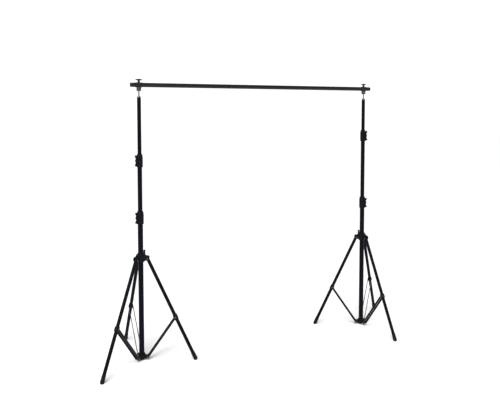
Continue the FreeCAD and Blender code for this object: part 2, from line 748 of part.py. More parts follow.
def make_bush(stand, piece, outer_bore, tube_bore, tube_low):
    """Guide ring at the lower end of a sliding tube; its origin is the tube's end."""
    body = new_body(stand.label(piece))
    ring = outer_bore / 2 - s.slide_gap
    neck = tube_bore / 2 - s.seat_gap
    hole = s.bush_bore / 2
    outline = (
        (hole, -s.bush_long),
        (ring - s.bush_bevel, -s.bush_long),
        (ring, s.bush_bevel - s.bush_long),
        (ring, 0),
        (neck, 0),
        (neck, s.bush_neck),
        (hole, s.bush_neck),
    )
    add_revolution(body, draw_outline(new_sketch(body, "XZ_Plane"), outline))
    stand.place(body, tube_low)


def make_spigot(stand):
    """Plug in the top tube with a coned head and the long threaded stud."""
    body = new_body(stand.label("spigot"))
    neck = s.top_od / 2 - s.top_wall - s.seat_gap
    cone_top = s.plug_rim + s.plug_cone
    stud = s.stud_od / 2
    stud_top = nut_base + s.nut_bore - s.stud_short - top_top
    outline = (
        (0, -s.plug_neck),
        (neck, -s.plug_neck),
        (neck, 0),
        (s.top_od / 2, 0),
        (s.top_od / 2, s.plug_rim),
        (s.plug_tip_od / 2, cone_top),
        (stud, cone_top),
        (stud, stud_top - s.stud_bevel),
        (stud - s.stud_bevel, stud_top),
        (0, stud_top),
    )
    add_revolution(body, draw_outline(new_sketch(body, "XZ_Plane"), outline))
    stand.place(body, top_top)


def make_stand(stand):
    lower_bore = s.lower_od - s.lower_wall * 2
    mid_bore = s.mid_od - s.mid_wall * 2
    top_bore = s.top_od - s.top_wall * 2
    make_lower_tube(stand)
    make_spider(stand)
    make_pins(stand, "spider_pins", s.spider_pin_height, s.spider_reach, strip_outside + s.face_gap)
    make_crown(stand)
    make_pins(stand, "crown_pins", crown_height, s.crown_reach, cheek_outside)
    make_lock_knob(stand)
    for number, step in enumerate(LEGS, start=1):
        heading = s.leg_heading + step
        make_leg(stand, number, heading)
        make_foot(stand, number, heading)
        make_bracket(stand, number, heading)
        make_brace(stand, number, heading)
    make_collar(stand, "lower_collar", s.lower_od, s.mid_od, lower_top)
    make_clamp_knob(stand, "lower_knob", s.lower_od, s.mid_od, lower_top)
    mid_tube = make_tube(stand.label("mid_tube"), s.mid_od, s.mid_wall, s.mid_length)
    stand.place(mid_tube, stand.mid_top - s.mid_length)
    make_bush(stand, "mid_bush", lower_bore, mid_bore, stand.mid_top - s.mid_length)
    make_collar(stand, "upper_collar", s.mid_od, s.top_od, stand.mid_top)
    make_clamp_knob(stand, "upper_knob", s.mid_od, s.top_od, stand.mid_top)
    top_tube = make_tube(stand.label("top_tube"), s.top_od, s.top_wall, s.top_length)
    stand.place(top_tube, top_top - s.top_length)
    make_bush(stand, "top_bush", mid_bore, top_bore, top_top - s.top_length)
    make_spigot(stand)


# ---- crossbar -----------------------------------------------------------------------------------

def place_on_bar(body):
    tie_placement(body, (0, 0, s.bar_height), (0, 0))


def make_bar_half(label, side):
    """Half of the crossbar; the right half has a reduced neck that fits inside the left one."""
    body = new_body(label)
    wall = draw_circle(new_sketch(body, "YZ_Plane"), s.bar_od / 2)
    draw_circle(wall, s.bar_od / 2 - s.bar_wall)
    add_feature(body, "Pad", wall, bar_half, backward=side < 0)
    if side > 0:
        neck_radius = s.bar_od / 2 - s.bar_wall - s.seat_gap
        neck = draw_circle(new_sketch(body, "YZ_Plane", s.bar_joint), neck_radius)
        draw_circle(neck, neck_radius - s.bar_wall)
        add_feature(body, "Pad", neck, s.bar_neck + s.bar_joint, backward=True)
        fill = draw_circle(new_sketch(body, "YZ_Plane"), s.bar_od / 2 - s.joint_inset)
        draw_circle(fill, neck_radius - s.bar_wall)
        add_feature(body, "Pad", fill, s.bar_joint)
    hole = draw_circle(new_sketch(body, "XY_Plane"), s.stud_od / 2 + s.stud_play, side * s.mast_span / 2)
    add_feature(body, "Pocket", hole, s.bar_od * 2, True)
    place_on_bar(body)


def make_sockets():
    """A sleeve round each end of the crossbar, with a stem below that the stud passes through."""
    body = new_body("bar_sockets")
    sleeve = s.bar_od / 2 + s.socket_wall
    for side in (-1, 1):
        middle = side * s.mast_span / 2
        stem_low = -s.bar_od / 2 - s.stem_deep
        stem = draw_circle(new_sketch(body, "XY_Plane", stem_low), s.stem_od / 2, middle)
        add_feature(body, "Pad", stem, s.bar_od / 2 + s.stem_deep)
        stem_edge = near_mast(middle, level_circle(stem_low, s.stem_od / 2))
        ease_edges(body, "Chamfer", s.stem_bevel, stem_edge)
        outer = draw_circle(new_sketch(body, "YZ_Plane", middle - s.socket_long / 2), sleeve)
        add_feature(body, "Pad", outer, s.socket_long)
        bore = draw_circle(new_sketch(body, "YZ_Plane", middle - s.socket_long / 2), s.bar_od / 2 + s.seat_gap)
        add_feature(body, "Pocket", bore, s.socket_long, backward=True)
        hole = draw_circle(new_sketch(body, "XY_Plane"), s.stud_od / 2 + s.pin_gap, middle)
        add_feature(body, "Pocket", hole, (s.stem_deep + s.bar_od) * 2, True)
    place_on_bar(body)


def make_bar_caps():
    """A domed plastic cap in each end of the crossbar."""
    body = new_body("bar_end_caps")
    neck = s.bar_od / 2 - s.bar_wall - s.seat_gap
    for side in (-1, 1):
        end = side * bar_half
        outline = (
            (end - side * s.cap_neck, 0),
            (end - side * s.cap_neck, neck),
            (end, neck),
            (end, s.bar_od / 2),
            (end + side * s.cap_rim, s.bar_od / 2),
            (end + side * s.cap_side, s.bar_od / 2 - s.cap_side_in),
            (end + side * s.cap_dome, s.bar_od / 2 - s.cap_face_in),
            (end + side * s.cap_dome, 0),
        )
        add_revolution(body, draw_outline(new_sketch(body, "XY_Plane"), outline), "H_Axis")
    place_on_bar(body)


def make_wing_nut(label, side):
    """Wing nut on the stud, above the crossbar; its origin is the centre of its base."""
    body = new_body(label)
    base = s.nut_od / 2
    bore = s.stud_od / 2 + s.pin_gap
    head_low = s.nut_high - s.nut_head
    outline = (
        (bore, 0),
        (base, 0),
        (base - s.nut_waist, head_low - s.nut_bevel),
        (base + s.nut_flare, head_low + s.nut_waist),
        (base + s.nut_flare, s.nut_high - s.nut_bevel),
        (base - s.nut_waist, s.nut_high),
        (0, s.nut_high),
        (0, s.nut_bore),
        (bore, s.nut_bore),
    )
    add_revolution(body, draw_outline(new_sketch(body, "XZ_Plane"), outline))
    tip = s.nut_span / 2
    root_share, root_depth = NUT_WING_ROOT
    wing = [(base * root_share, head_low)]
    wing += [(tip * share, head_low + rise) for share, rise in NUT_WING_UNDERSIDE]
    wing += [(tip * share, s.nut_high - depth) for share, depth in NUT_WING_TOP]
    wing.append((base * root_share, s.nut_high - root_depth))
    for hand in (1, -1):
        outline = [(hand * across, up) for across, up in wing]
        add_feature(body, "Pad", draw_outline(new_sketch(body, "XZ_Plane"), outline), s.nut_wing, True)
    tie_placement(body, (side * s.mast_span / 2, 0, nut_base), (0, 0))


# ---- building and writing -----------------------------------------------------------------------

def check_document():
    """Stop if anything in the document failed to build."""
    for thing in DOC.Objects:
        if {"Invalid", "Error"} & set(thing.State):
            raise RuntimeError(f"{thing.Label} failed: {thing.State}")


def sub_parts():
    """The finished sub-parts: every body and cut that nothing else is built from."""
    for thing in DOC.Objects:
        used = any(user.TypeId == "Part::Cut" for user in thing.InList)
        if thing.TypeId in ("PartDesign::Body", "Part::Cut") and not used:
            yield thing


def write_parts():
    os.makedirs(OUT, exist_ok=True)
    for part in sub_parts():
        if part.Shape.isNull() or not part.Shape.isValid():
            raise RuntimeError(f"{part.Label} has no valid shape")
        part.Shape.exportStep(f"{OUT}/{part.Label}.step")


def main():
    make_stand(Stand("left", -1, 0, s.left_mid_rise, s.left_knob_heading, s.left_lock_heading))
    make_stand(Stand("right", 1, 180, s.right_mid_rise, s.right_knob_heading, s.right_lock_heading))
    make_bar_half("crossbar_left", -1)
    make_bar_half("crossbar_right", 1)
    make_sockets()
    make_bar_caps()
    make_wing_nut("wing_nut_left", -1)
    make_wing_nut("wing_nut_right", 1)
    DOC.recompute()
    check_document()
    write_parts()


main()
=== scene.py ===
import json
import math

import bmesh
import bpy
from bpy.props import FloatProperty, FloatVectorProperty, IntProperty, PointerProperty
from mathutils import Matrix, Vector


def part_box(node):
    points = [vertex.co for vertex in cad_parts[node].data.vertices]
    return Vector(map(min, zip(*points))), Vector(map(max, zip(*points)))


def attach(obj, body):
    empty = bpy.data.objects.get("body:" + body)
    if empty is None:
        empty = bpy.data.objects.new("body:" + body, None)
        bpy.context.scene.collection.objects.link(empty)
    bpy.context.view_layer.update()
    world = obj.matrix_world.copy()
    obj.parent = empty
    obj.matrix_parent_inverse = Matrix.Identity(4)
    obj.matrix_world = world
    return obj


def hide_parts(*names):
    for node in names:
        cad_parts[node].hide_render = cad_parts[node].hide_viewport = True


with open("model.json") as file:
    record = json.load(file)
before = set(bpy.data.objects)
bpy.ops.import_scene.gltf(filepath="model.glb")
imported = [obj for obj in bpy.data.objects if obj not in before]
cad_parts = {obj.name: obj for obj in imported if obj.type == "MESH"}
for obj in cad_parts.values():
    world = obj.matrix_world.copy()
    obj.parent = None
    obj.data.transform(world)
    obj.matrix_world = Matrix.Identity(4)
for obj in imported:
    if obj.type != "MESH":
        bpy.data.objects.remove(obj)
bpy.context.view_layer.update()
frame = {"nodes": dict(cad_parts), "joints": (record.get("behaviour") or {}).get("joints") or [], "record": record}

MM = 0.001
SIDES = ("left", "right")
LEGS = (1, 2, 3)
UP = Vector((0, 0, 1))
QUARTER = math.pi / 2

# Clearance where a piece seats, where it slides and round a screw, and the grain of a merge.
SEAT_GAP = 0.05 * MM
SLIDE_GAP = 0.12 * MM
SCREW_GAP = 0.1 * MM
MERGE_GAP = 0.002 * MM

# How far a cutting tool stands out of the piece it cuts.
OVERCUT = 5 * MM

# Faces round a small turned piece or hole, a plain rod, a leg's bore and a socket.
FEW_SIDES = 32
ROD_SIDES = 48
BORE_SIDES = 64
MANY_SIDES = 96

CLAMP_KNOB_SPAN = 64 * MM
LOCK_KNOB_SPAN = 40 * MM
LOCK_KNOB_BASE = 26.5 * MM
KNOB_STANDOFF = 3 * MM
SCREW_TIP_GAP = 0.3 * MM

CROWN_BORE = 15.12 * MM
CROWN_RADIUS = 22 * MM
CROWN_FOOT = -18 * MM
CROWN_TOP = 35 * MM
CROWN_LOCK_HEIGHT = 25 * MM
FORK_REACH = 40 * MM
FORK_RADIUS = 8.8 * MM
FORK_INSIDE = 10.6 * MM
FORK_OUTSIDE = 13.7 * MM
FORK_ROOT_HALF = 13.6 * MM

SPIDER_BORE = 15.1 * MM
SPIDER_RADIUS = 21 * MM
SPIDER_FLOOR = 4 * MM
TONGUE_REACH = 37 * MM
TONGUE_RADIUS = 7.8 * MM
TONGUE_HALF = 11.3 * MM
SPIDER_PIN_GRIP = 13.9 * MM
CAP_NECK_LENGTH = 16 * MM

# The studio: a wide floor, a sweep that only the camera sees, and the lamps.
FLOOR_SIZE = 60
SWEEP_STRENGTH = 1.1
LAMP_AIM = (0, 0, 0.9)
OVERHEAD_PLACE = (-1.2, -1.6, 4.0)
OVERHEAD_SPREAD = math.radians(50)
LAMPS = (("key", (-3.2, -3.6, 2.6), 1.6, 90), ("fill", (3.8, -2.4, 2.2), 1.2, 45))
SENSOR_WIDTH = 36

bl_info = {
    "name": "Background Support System",
    "version": (1, 0, 0),
    "blender": (4, 5, 0),
    "location": "3D Viewport > Sidebar > Backdrop",
    "description": "Folding light stands with a crossbar, and the studio stage they stand on",
    "category": "Add Mesh",
}


# ---- settings -----------------------------------------------------------------------------------

def length_setting(name, description, default):
    """A size in metres that shows in the sidebar."""
    return FloatProperty(
        name=name, description=description, default=default, min=0, unit="LENGTH"
    )


def colour_setting(name, description, default):
    """A colour that shows in the sidebar."""
    return FloatVectorProperty(
        name=name, description=description, default=default,
        size=3, min=0, max=1, subtype="COLOR",
    )


def angle_setting(name, description, default):
    """An angle in radians that shows in the sidebar."""
    return FloatProperty(
        name=name, description=description, default=default, subtype="ANGLE", unit="ROTATION"
    )


class SupportSizes(bpy.types.PropertyGroup):
    """Sizes of the castings, knobs and small parts."""

    collar_wall: length_setting("Collar wall", "Wall of a clamp collar over its own tube", 5 * MM)
    collar_shoulder: length_setting("Collar shoulder", "Height of a collar's sloping top", 13 * MM)
    boss_radius: length_setting("Boss", "Radius of a clamp screw's boss", 9 * MM)
    screw_radius: length_setting("Screw", "Radius of a knob's screw", 4 * MM)
    hub_radius: length_setting("Knob hub", "Radius of a wing knob's hub", 8.5 * MM)
    wing_thickness: length_setting("Wing", "Thickness of a knob's wing", 9 * MM)
    lobe_radius: length_setting("Lobe", "Radius of a wing's round end", 6.4 * MM)
    leg_radius: length_setting("Leg", "Outside radius of a leg", 10 * MM)
    foot_radius: length_setting("Foot", "Outside radius of a rubber foot", 11.5 * MM)
    foot_lift: length_setting(
        "Foot lift", "Centre of a foot's round end above the floor", 8.5 * MM
    )
    foot_grip: length_setting("Foot grip", "Length of a foot over its leg", 38 * MM)
    brace_grip: length_setting(
        "Brace grip", "Leg pivot to the brace's rivet, along the leg", 378 * MM
    )
    strip_width: length_setting("Strip", "Width of a brace's strip", 13 * MM)
    strip_thickness: length_setting("Strip thickness", "Thickness of a brace's strip", 1.6 * MM)
    strip_inside: length_setting(
        "Strip spacing", "Middle of a brace to a strip's inner face", 12 * MM
    )
    stud_radius: length_setting("Stud", "Radius over the stud's thread", 3.5 * MM)
    thread_pitch: length_setting("Thread pitch", "Height of one turn of a thread", 1.25 * MM)
    socket_wall: length_setting("Socket wall", "Wall of the sleeve round the crossbar", 2 * MM)
    casting_voxel: length_setting(
        "Casting detail", "Grain at which a casting's parts are merged", 0.8 * MM
    )
    knob_voxel: length_setting("Knob detail", "Grain at which a knob's parts are merged", 0.5 * MM)
    turning_steps: IntProperty(
        name="Turning steps", description="Faces round a turned piece", default=64, min=12
    )


class SupportFinish(bpy.types.PropertyGroup):
    """Colours of the paints, plastics and metals."""

    coat: colour_setting("Powder coat", "Mast and leg tubes", (0.0014, 0.0021, 0.0046))
    bar_coat: colour_setting("Crossbar coat", "Crossbar", (0.0060, 0.0064, 0.0085))
    casting: colour_setting(
        "Casting paint", "Crowns, spiders and collars", (0.0024, 0.0029, 0.0044)
    )
    strip: colour_setting("Strip paint", "Brace strips", (0.0050, 0.0052, 0.0064))
    socket: colour_setting("Socket paint", "Stems under the crossbar", (0.020, 0.020, 0.018))
    plastic: colour_setting("Knob plastic", "Clamp and lock knobs", (0.0034, 0.0037, 0.0046))
    nut: colour_setting("Nut plastic", "Wing nuts", (0.010, 0.010, 0.009))
    rubber: colour_setting("Rubber", "Feet and leg sleeves", (0.0034, 0.0036, 0.0042))
    cap: colour_setting("Cap plastic", "Caps in the crossbar", (0.0040, 0.0040, 0.0045))
    steel: colour_setting("Plated steel", "Studs and screws", (0.15, 0.15, 0.165))
    pin: colour_setting("Blackened steel", "Hinge pins and rivets", (0.08, 0.08, 0.088))
    nylon: colour_setting("Nylon", "Guide rings", (0.55, 0.55, 0.52))


class SupportStage(bpy.types.PropertyGroup):
    """Camera, floor and lights."""

    eye: FloatVectorProperty(
        name="Camera", description="Camera's place", default=(-1.178, -2.991, 1.443),
        size=3, subtype="XYZ", unit="LENGTH",
    )
    heading: angle_setting("Heading", "Camera's turn towards +X", 0.3556)
    dip: angle_setting("Dip", "Camera's tilt below level", 0.053)
    lens: FloatProperty(
        name="Lens", description="Focal length in millimetres", default=37.26, min=10
    )
    rise: FloatProperty(name="Shift", description="Camera's vertical shift", default=-0.12)
    floor: colour_setting("Floor", "Pale studio floor", (0.93, 0.93, 0.93))
    room: FloatProperty(
        name="Room light", description="Light that the studio's walls give", default=0.22, min=0
    )
    overhead: FloatProperty(
        name="Overhead", description="Strength of the overhead light", default=3.4, min=0
    )


# ---- placing ------------------------------------------------------------------------------------

def sizes():
    return bpy.context.scene.support_sizes


def finishes():
    return bpy.context.scene.support_finish


def joint(name):
    return next(item for item in frame["joints"] if item["name"] == name)


def sole_reach(side, number, pivot):
    """How far out from the leg's pivot its foot stands."""
    name = f"{side}_foot_{number}_sole"
    sole = next(mount for mount in frame["record"]["mounts"] if mount["name"] == name)
    return (Vector(sole["pos_m"]) - pivot).to_2d().length


def heading_of(direction):
    return math.atan2(direction[1], direction[0])


def at(point, heading=0.0, lean=0.0):
    """A place: at a point, turned about Z, then leaned about its own Y."""
    turn = Matrix.Rotation(heading, 4, "Z") @ Matrix.Rotation(lean, 4, "Y")
    return Matrix.Translation(Vector(point)) @ turn


def mast_axis(side):
    low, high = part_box(f"{side}_lower_tube")
    return (low.x + high.x) / 2


def tube_radius(node):
    low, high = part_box(node)
    return (high.x - low.x) / 2


def leg_place(side, number):
    """The leg's own frame: its pivot, with the leg along -Z."""
    fold = joint(f"{side}_leg_{number}_fold")
    pivot = Vector(fold["pos_m"])
    outward = Vector(fold["axis"]).cross(UP)
    angle = math.atan2(sole_reach(side, number, pivot), pivot.z - sizes().foot_lift)
    return at(pivot, heading_of(outward), -angle)


def leg_length(side, number):
    """From the leg's pivot to the centre of its foot's round end."""
    pivot = leg_place(side, number).translation
    return math.hypot(sole_reach(side, number, pivot), pivot.z - sizes().foot_lift)


def brace_place(side, number):
    """The brace's own frame, its lower pin with the brace along +Z, and the brace's length."""
    pin = Vector(joint(f"{side}_brace_{number}_fold")["pos_m"])
    rivet = leg_place(side, number) @ Vector((0, 0, -sizes().brace_grip))
    run = rivet - pin
    return at(pin, heading_of(run), math.atan2(run.to_2d().length, run.z)), run.length


# ---- modelling tools ----------------------------------------------------------------------------

def clear_selection():
    if bpy.context.object and bpy.context.object.mode != "OBJECT":
        bpy.ops.object.mode_set(mode="OBJECT")
    bpy.ops.object.select_all(action="DESELECT")


def take_up(piece):
    """Make a piece the only selected object."""
    clear_selection()
    piece.select_set(True)
    bpy.context.view_layer.objects.active = piece


def apply_place(piece, place=None):
    """Move a piece to its place and leave the place in its mesh."""
    take_up(piece)
    if place is not None:
        piece.matrix_world = place @ piece.matrix_world
    bpy.ops.object.transform_apply(location=True, rotation=True, scale=True)
    return piece


def edit(piece):
    take_up(piece)
    bpy.ops.object.mode_set(mode="EDIT")


def leave_edit():
    bpy.ops.object.mode_set(mode="OBJECT")


def pick(piece, kind, wanted):
    """Select the vertices, edges or faces in edit mode that a test wants."""
    bpy.ops.mesh.select_mode(type=kind)
    bpy.ops.mesh.select_all(action="DESELECT")
    mesh = bmesh.from_edit_mesh(piece.data)
    items = {"VERT": mesh.verts, "EDGE": mesh.edges, "FACE": mesh.faces}[kind]
    for item in items:
        if wanted(item):
            item.select_set(True)
    mesh.select_flush_mode()
    bmesh.update_edit_mesh(piece.data)


def turned(name, profile, steps=None):
    """A turned piece on the Z axis, from the (radius, height) points of half its section."""
    clear_selection()
    bpy.ops.mesh.primitive_plane_add(size=MM)
    piece = bpy.context.object
    piece.name = name
    bpy.ops.object.mode_set(mode="EDIT")
    bpy.ops.mesh.select_mode(type="VERT")
    bpy.ops.mesh.select_all(action="SELECT")
    bpy.ops.mesh.merge(type="CENTER")
    radius, height = profile[0]
    bpy.ops.transform.translate(value=(radius, 0, height))
    for next_radius, next_height in profile[1:]:
        step = (next_radius - radius, 0, next_height - height)
        bpy.ops.mesh.extrude_region_move(TRANSFORM_OT_translate={"value": step})
        radius, height = next_radius, next_height
    bpy.ops.mesh.select_all(action="SELECT")
    bpy.ops.mesh.spin(
        steps=steps or sizes().turning_steps, angle=math.tau, center=(0, 0, 0), axis=UP
    )
    bpy.ops.mesh.select_all(action="SELECT")
    bpy.ops.mesh.remove_doubles(threshold=MERGE_GAP)
    bpy.ops.mesh.normals_make_consistent(inside=False)
    leave_edit()
    return piece


def ring_profile(points):
    """A closed section: the points, and back to the first one."""
    return list(points) + [points[0]]


def block(name, low, high):
    """A block between two corners, made from a cube."""
    clear_selection()
    low, high = Vector(low), Vector(high)
    bpy.ops.mesh.primitive_cube_add(size=1, location=(low + high) / 2, scale=high - low)
    piece = bpy.context.object
    piece.name = name
    return apply_place(piece)


def rod(name, radius, start, end, sides=ROD_SIDES):
    """A round rod between two points."""
    clear_selection()
    start, end = Vector(start), Vector(end)
    run = end - start
    bpy.ops.mesh.primitive_cylinder_add(vertices=sides, radius=radius, depth=run.length)
    piece = bpy.context.object
    piece.name = name
    turn = run.to_track_quat("Z", "Y").to_matrix().to_4x4()
    return apply_place(piece, Matrix.Translation((start + end) / 2) @ turn)


def join(name, pieces):
    """Join pieces into the first of them."""
    clear_selection()
    for piece in pieces:
        piece.select_set(True)
    bpy.context.view_layer.objects.active = pieces[0]
    bpy.ops.object.join()
    pieces[0].name = name
    return pieces[0]


def apply_modifier(piece, kind, **values):
    take_up(piece)
    modifier = piece.modifiers.new(kind.title(), kind)
    for key, value in values.items():
        setattr(modifier, key, value)
    bpy.ops.object.modifier_apply(modifier=modifier.name)
    return piece


def soften(piece, width, segments=3, angle=30):
    """Round every edge sharper than the angle in degrees."""
    return apply_modifier(
        piece, "BEVEL", width=width, segments=segments, limit_method="ANGLE",
        angle_limit=math.radians(angle), harden_normals=False,
    )


def cut(piece, tool):
    """Cut a tool's shape out of a piece, and drop the tool."""
    apply_modifier(piece, "BOOLEAN", operation="DIFFERENCE", object=tool, solver="EXACT")
    bpy.data.objects.remove(tool)
    return piece


def cast(name, pieces, voxel, rounds):
    """Merge overlapping pieces into one casting with fillets where they meet."""
    piece = join(name, pieces)
    apply_modifier(piece, "REMESH", mode="VOXEL", voxel_size=voxel, adaptivity=0)
    apply_modifier(piece, "SMOOTH", factor=0.5, iterations=rounds)
    return piece


def shade(piece, angle=35):
    """Shade smooth across every edge flatter than the angle in degrees."""
    take_up(piece)
    bpy.ops.object.shade_smooth_by_angle(angle=math.radians(angle))
    return piece


def repeat(piece, name, place):
    """A copy of a piece with its own mesh, at another place."""
    copy = piece.copy()
    copy.data = piece.data.copy()
    copy.name = name
    bpy.context.scene.collection.objects.link(copy)
    return apply_place(copy, place)


def deliver(piece, body, slot, finish, *nodes):
    """Give a finished piece its finish, and let it ride on its body in place of CAD nodes."""
    piece.data.name = piece.name
    piece.data.materials.clear()
    piece.data.materials.append(finish)
    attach(piece, body)
    if nodes:
        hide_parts(*nodes)
    return piece


def discard(*pieces):
    for piece in pieces:
        bpy.data.objects.remove(piece)


# ---- finishes -----------------------------------------------------------------------------------

# Scale of a finish's broad mottle and of its scuffs, and how dark the mottle gets.
MOTTLE_SCALE = 45
MOTTLE_DARK = 0.85
SCUFF_SCALE = 260


def add_node(tree, kind, **values):
    node = tree.nodes.new("ShaderNode" + kind)
    for key, value in values.items():
        if key in node.inputs:
            node.inputs[key].default_value = value
        else:
            setattr(node, key, value)
    return node


def noise(tree, place, scale, detail, roughness=0.55):
    """A noise texture on the piece's own coordinates."""
    texture = add_node(tree, "TexNoise", Scale=scale, Detail=detail, Roughness=roughness)
    tree.links.new(place.outputs["Object"], texture.inputs["Vector"])
    return texture


def ramp(tree, source, low, high, dark, light):
    """Map a grey value between two places onto two colours."""
    node = add_node(tree, "ValToRGB")
    node.color_ramp.elements[0].position = low
    node.color_ramp.elements[1].position = high
    node.color_ramp.elements[0].color = (*dark, 1)
    node.color_ramp.elements[1].color = (*light, 1)
    tree.links.new(source, node.inputs["Fac"])
    return node


def spread(tree, source, low, high):
    """Map 0..1 onto a range of numbers."""
    node = add_node(tree, "MapRange")
    node.inputs["To Min"].default_value = low
    node.inputs["To Max"].default_value = high
    tree.links.new(source, node.inputs["Value"])
    return node


def tinted(colour, amount):
    return tuple(min(1.0, channel * amount) for channel in colour)


def make_finish(name, colour, rough, grain, depth, metallic=0.0, dust=1.6, specular=0.5):
    """A finish with mottled colour, uneven gloss, fine scuffs and a surface grain.

    rough is the range of its roughness, grain and depth are the surface grain's scale and
    height, and dust is how much lighter its palest patches are than its colour.
    """
    material = bpy.data.materials.new(name)
    material.use_nodes = True
    tree = material.node_tree
    shader = tree.nodes["Principled BSDF"]
    shader.inputs["Metallic"].default_value = metallic
    shader.inputs["Specular IOR Level"].default_value = specular
    place = add_node(tree, "TexCoord")
    mottle = noise(tree, place, MOTTLE_SCALE, detail=6.0)
    tone = ramp(
        tree, mottle.outputs["Fac"], 0.3, 0.75, tinted(colour, MOTTLE_DARK), tinted(colour, dust)
    )
    tree.links.new(tone.outputs["Color"], shader.inputs["Base Color"])
    scuff = noise(tree, place, SCUFF_SCALE, detail=3.0, roughness=0.7)
    gloss = spread(tree, scuff.outputs["Fac"], *rough)
    tree.links.new(gloss.outputs["Result"], shader.inputs["Roughness"])
    fine = noise(tree, place, grain, detail=2.0)
    bump = add_node(tree, "Bump", Strength=0.6, Distance=depth)
    tree.links.new(fine.outputs["Fac"], bump.inputs["Height"])
    tree.links.new(bump.outputs["Normal"], shader.inputs["Normal"])
    return material


# Each finish: its material's name, its colour setting, and what make_finish takes.
FINISH_TABLE = {
    "mast": ("satin_powder_coat", "coat", (0.26, 0.38), 1100, 0.012 * MM, {"specular": 0.06}),
    "leg": ("leg_powder_coat", "coat", (0.28, 0.44), 1100, 0.012 * MM, {"specular": 0.06}),
    "bar": (
        "crossbar_powder_coat", "bar_coat", (0.24, 0.38), 1100, 0.012 * MM, {"specular": 0.22}
    ),
    "casting": (
        "painted_casting", "casting", (0.34, 0.56), 900, 0.08 * MM, {"dust": 2.0, "specular": 0.08}
    ),
    "strip": ("painted_strip", "strip", (0.28, 0.5), 1100, 0.03 * MM, {"specular": 0.14}),
    "socket": ("socket_paint", "socket", (0.34, 0.52), 1000, 0.1 * MM, {"dust": 1.5}),
    "plastic": (
        "moulded_knob_plastic", "plastic", (0.38, 0.6), 2200, 0.08 * MM,
        {"dust": 1.5, "specular": 0.09},
    ),
    "nut": (
        "moulded_nut_plastic", "nut", (0.4, 0.6), 2200, 0.08 * MM, {"dust": 1.5, "specular": 0.2}
    ),
    "rubber": (
        "black_rubber", "rubber", (0.62, 0.85), 1300, 0.1 * MM, {"dust": 2.4, "specular": 0.14}
    ),
    "cap": ("cap_plastic", "cap", (0.2, 0.36), 1600, 0.05 * MM, {"dust": 1.3, "specular": 0.4}),
    "steel": (
        "zinc_plated_steel", "steel", (0.2, 0.38), 1200, 0.03 * MM, {"metallic": 1.0, "dust": 1.1}
    ),
    "pin": (
        "blackened_steel", "pin", (0.26, 0.44), 1200, 0.03 * MM, {"metallic": 1.0, "dust": 1.4}
    ),
    "nylon": ("moulded_nylon", "nylon", (0.4, 0.6), 900, 0.05 * MM, {"dust": 1.1}),
}
FINISHES = {}


def finish(name):
    return FINISHES[name]


def make_finishes():
    for key, (name, colour, rough, grain, depth, extras) in FINISH_TABLE.items():
        tone = getattr(finishes(), colour)
        FINISHES[key] = make_finish(name, tone, rough, grain, depth, **extras)


# ---- pieces -------------------------------------------------------------------------------------

def collar_model(own, inner, height):
    """Clamp collar on Z, its screw's boss on +X: bead, groove, plain body, sloping shoulder and slit."""
    s = sizes()
    seat = own + SEAT_GAP
    bore = inner + SLIDE_GAP
    seat_top = 26 * MM
    outside = own + s.collar_wall
    shoulder = height - s.collar_shoulder
    lip = inner + 3 * MM
    shell = turned("collar", ring_profile((
        (seat, 0.3 * MM), (seat + 0.5 * MM, 0), (outside - 0.6 * MM, 0), (outside, 0.8 * MM),
        (outside, 4 * MM), (outside - 0.8 * MM, 5 * MM), (outside - 0.8 * MM, 6 * MM),
        (outside - 0.1 * MM, 7.5 * MM), (outside, 30 * MM),
        (outside - 0.1 * MM, shoulder - 2 * MM),
        (outside - 0.9 * MM, shoulder), (lip + 1.2 * MM, height - 3.5 * MM),
        (lip + 1 * MM, height - 2.5 * MM), (lip + 1 * MM, height - 0.8 * MM),
        (lip + 0.2 * MM, height), (bore + 0.5 * MM, height),
        (bore, height - 0.5 * MM), (bore, seat_top), (seat, seat_top),
    )))
    middle = height / 2
    root = bore + 2 * MM
    boss_end = outside + 2.5 * MM
    lug_half, lug_reach = 5 * MM, 17 * MM
    slit_half, slit_foot = 1.25 * MM, 28 * MM
    boss = rod("boss", s.boss_radius, (root, 0, middle), (boss_end, 0, middle))
    lug = block(
        "lug", (root, -lug_half, middle - lug_reach),
        (outside + 1.2 * MM, lug_half, middle + lug_reach),
    )
    collar = cast("collar", [shell, boss, lug], s.casting_voxel * 0.75, 4)
    hole_radius = s.screw_radius + SCREW_GAP
    cut(collar, rod("hole", hole_radius, (0, 0, middle), (boss_end + OVERCUT, 0, middle)))
    cut(collar, block(
        "slit", (-outside - OVERCUT, -slit_half, slit_foot), (0, slit_half, height + OVERCUT)
    ))
    return shade(collar, 40)


def wing_knob_model(base, span):
    """Wing knob on +X with its wings up and down: a round hub, and wings that end in lobes."""
    s = sizes()
    rim = s.hub_radius
    dish = 7.2 * MM
    hub = turned("hub", [
        (0, 0), (rim, 0), (rim, 5.5 * MM), (rim - 1.6 * MM, 7.6 * MM),
        (rim - 3.4 * MM, 7.9 * MM), (rim - 3.8 * MM, dish), (0, dish),
    ])
    apply_place(hub, Matrix.Translation((base, 0, 0)) @ Matrix.Rotation(QUARTER, 4, "Y"))
    pieces = [hub]
    lobe_up = span / 2 - s.lobe_radius
    half = s.wing_thickness / 2
    for hand in (1, -1):
        pieces.append(wing_model(base, hand, lobe_up))
        centre = Vector((base + s.lobe_radius, 0, hand * lobe_up))
        side = Vector((0, half, 0))
        lobe = rod("lobe", s.lobe_radius, centre - side, centre + side)
        pieces.append(soften(lobe, 1.8 * MM))
    return shade(cast("knob", pieces, s.knob_voxel, 8), 60)


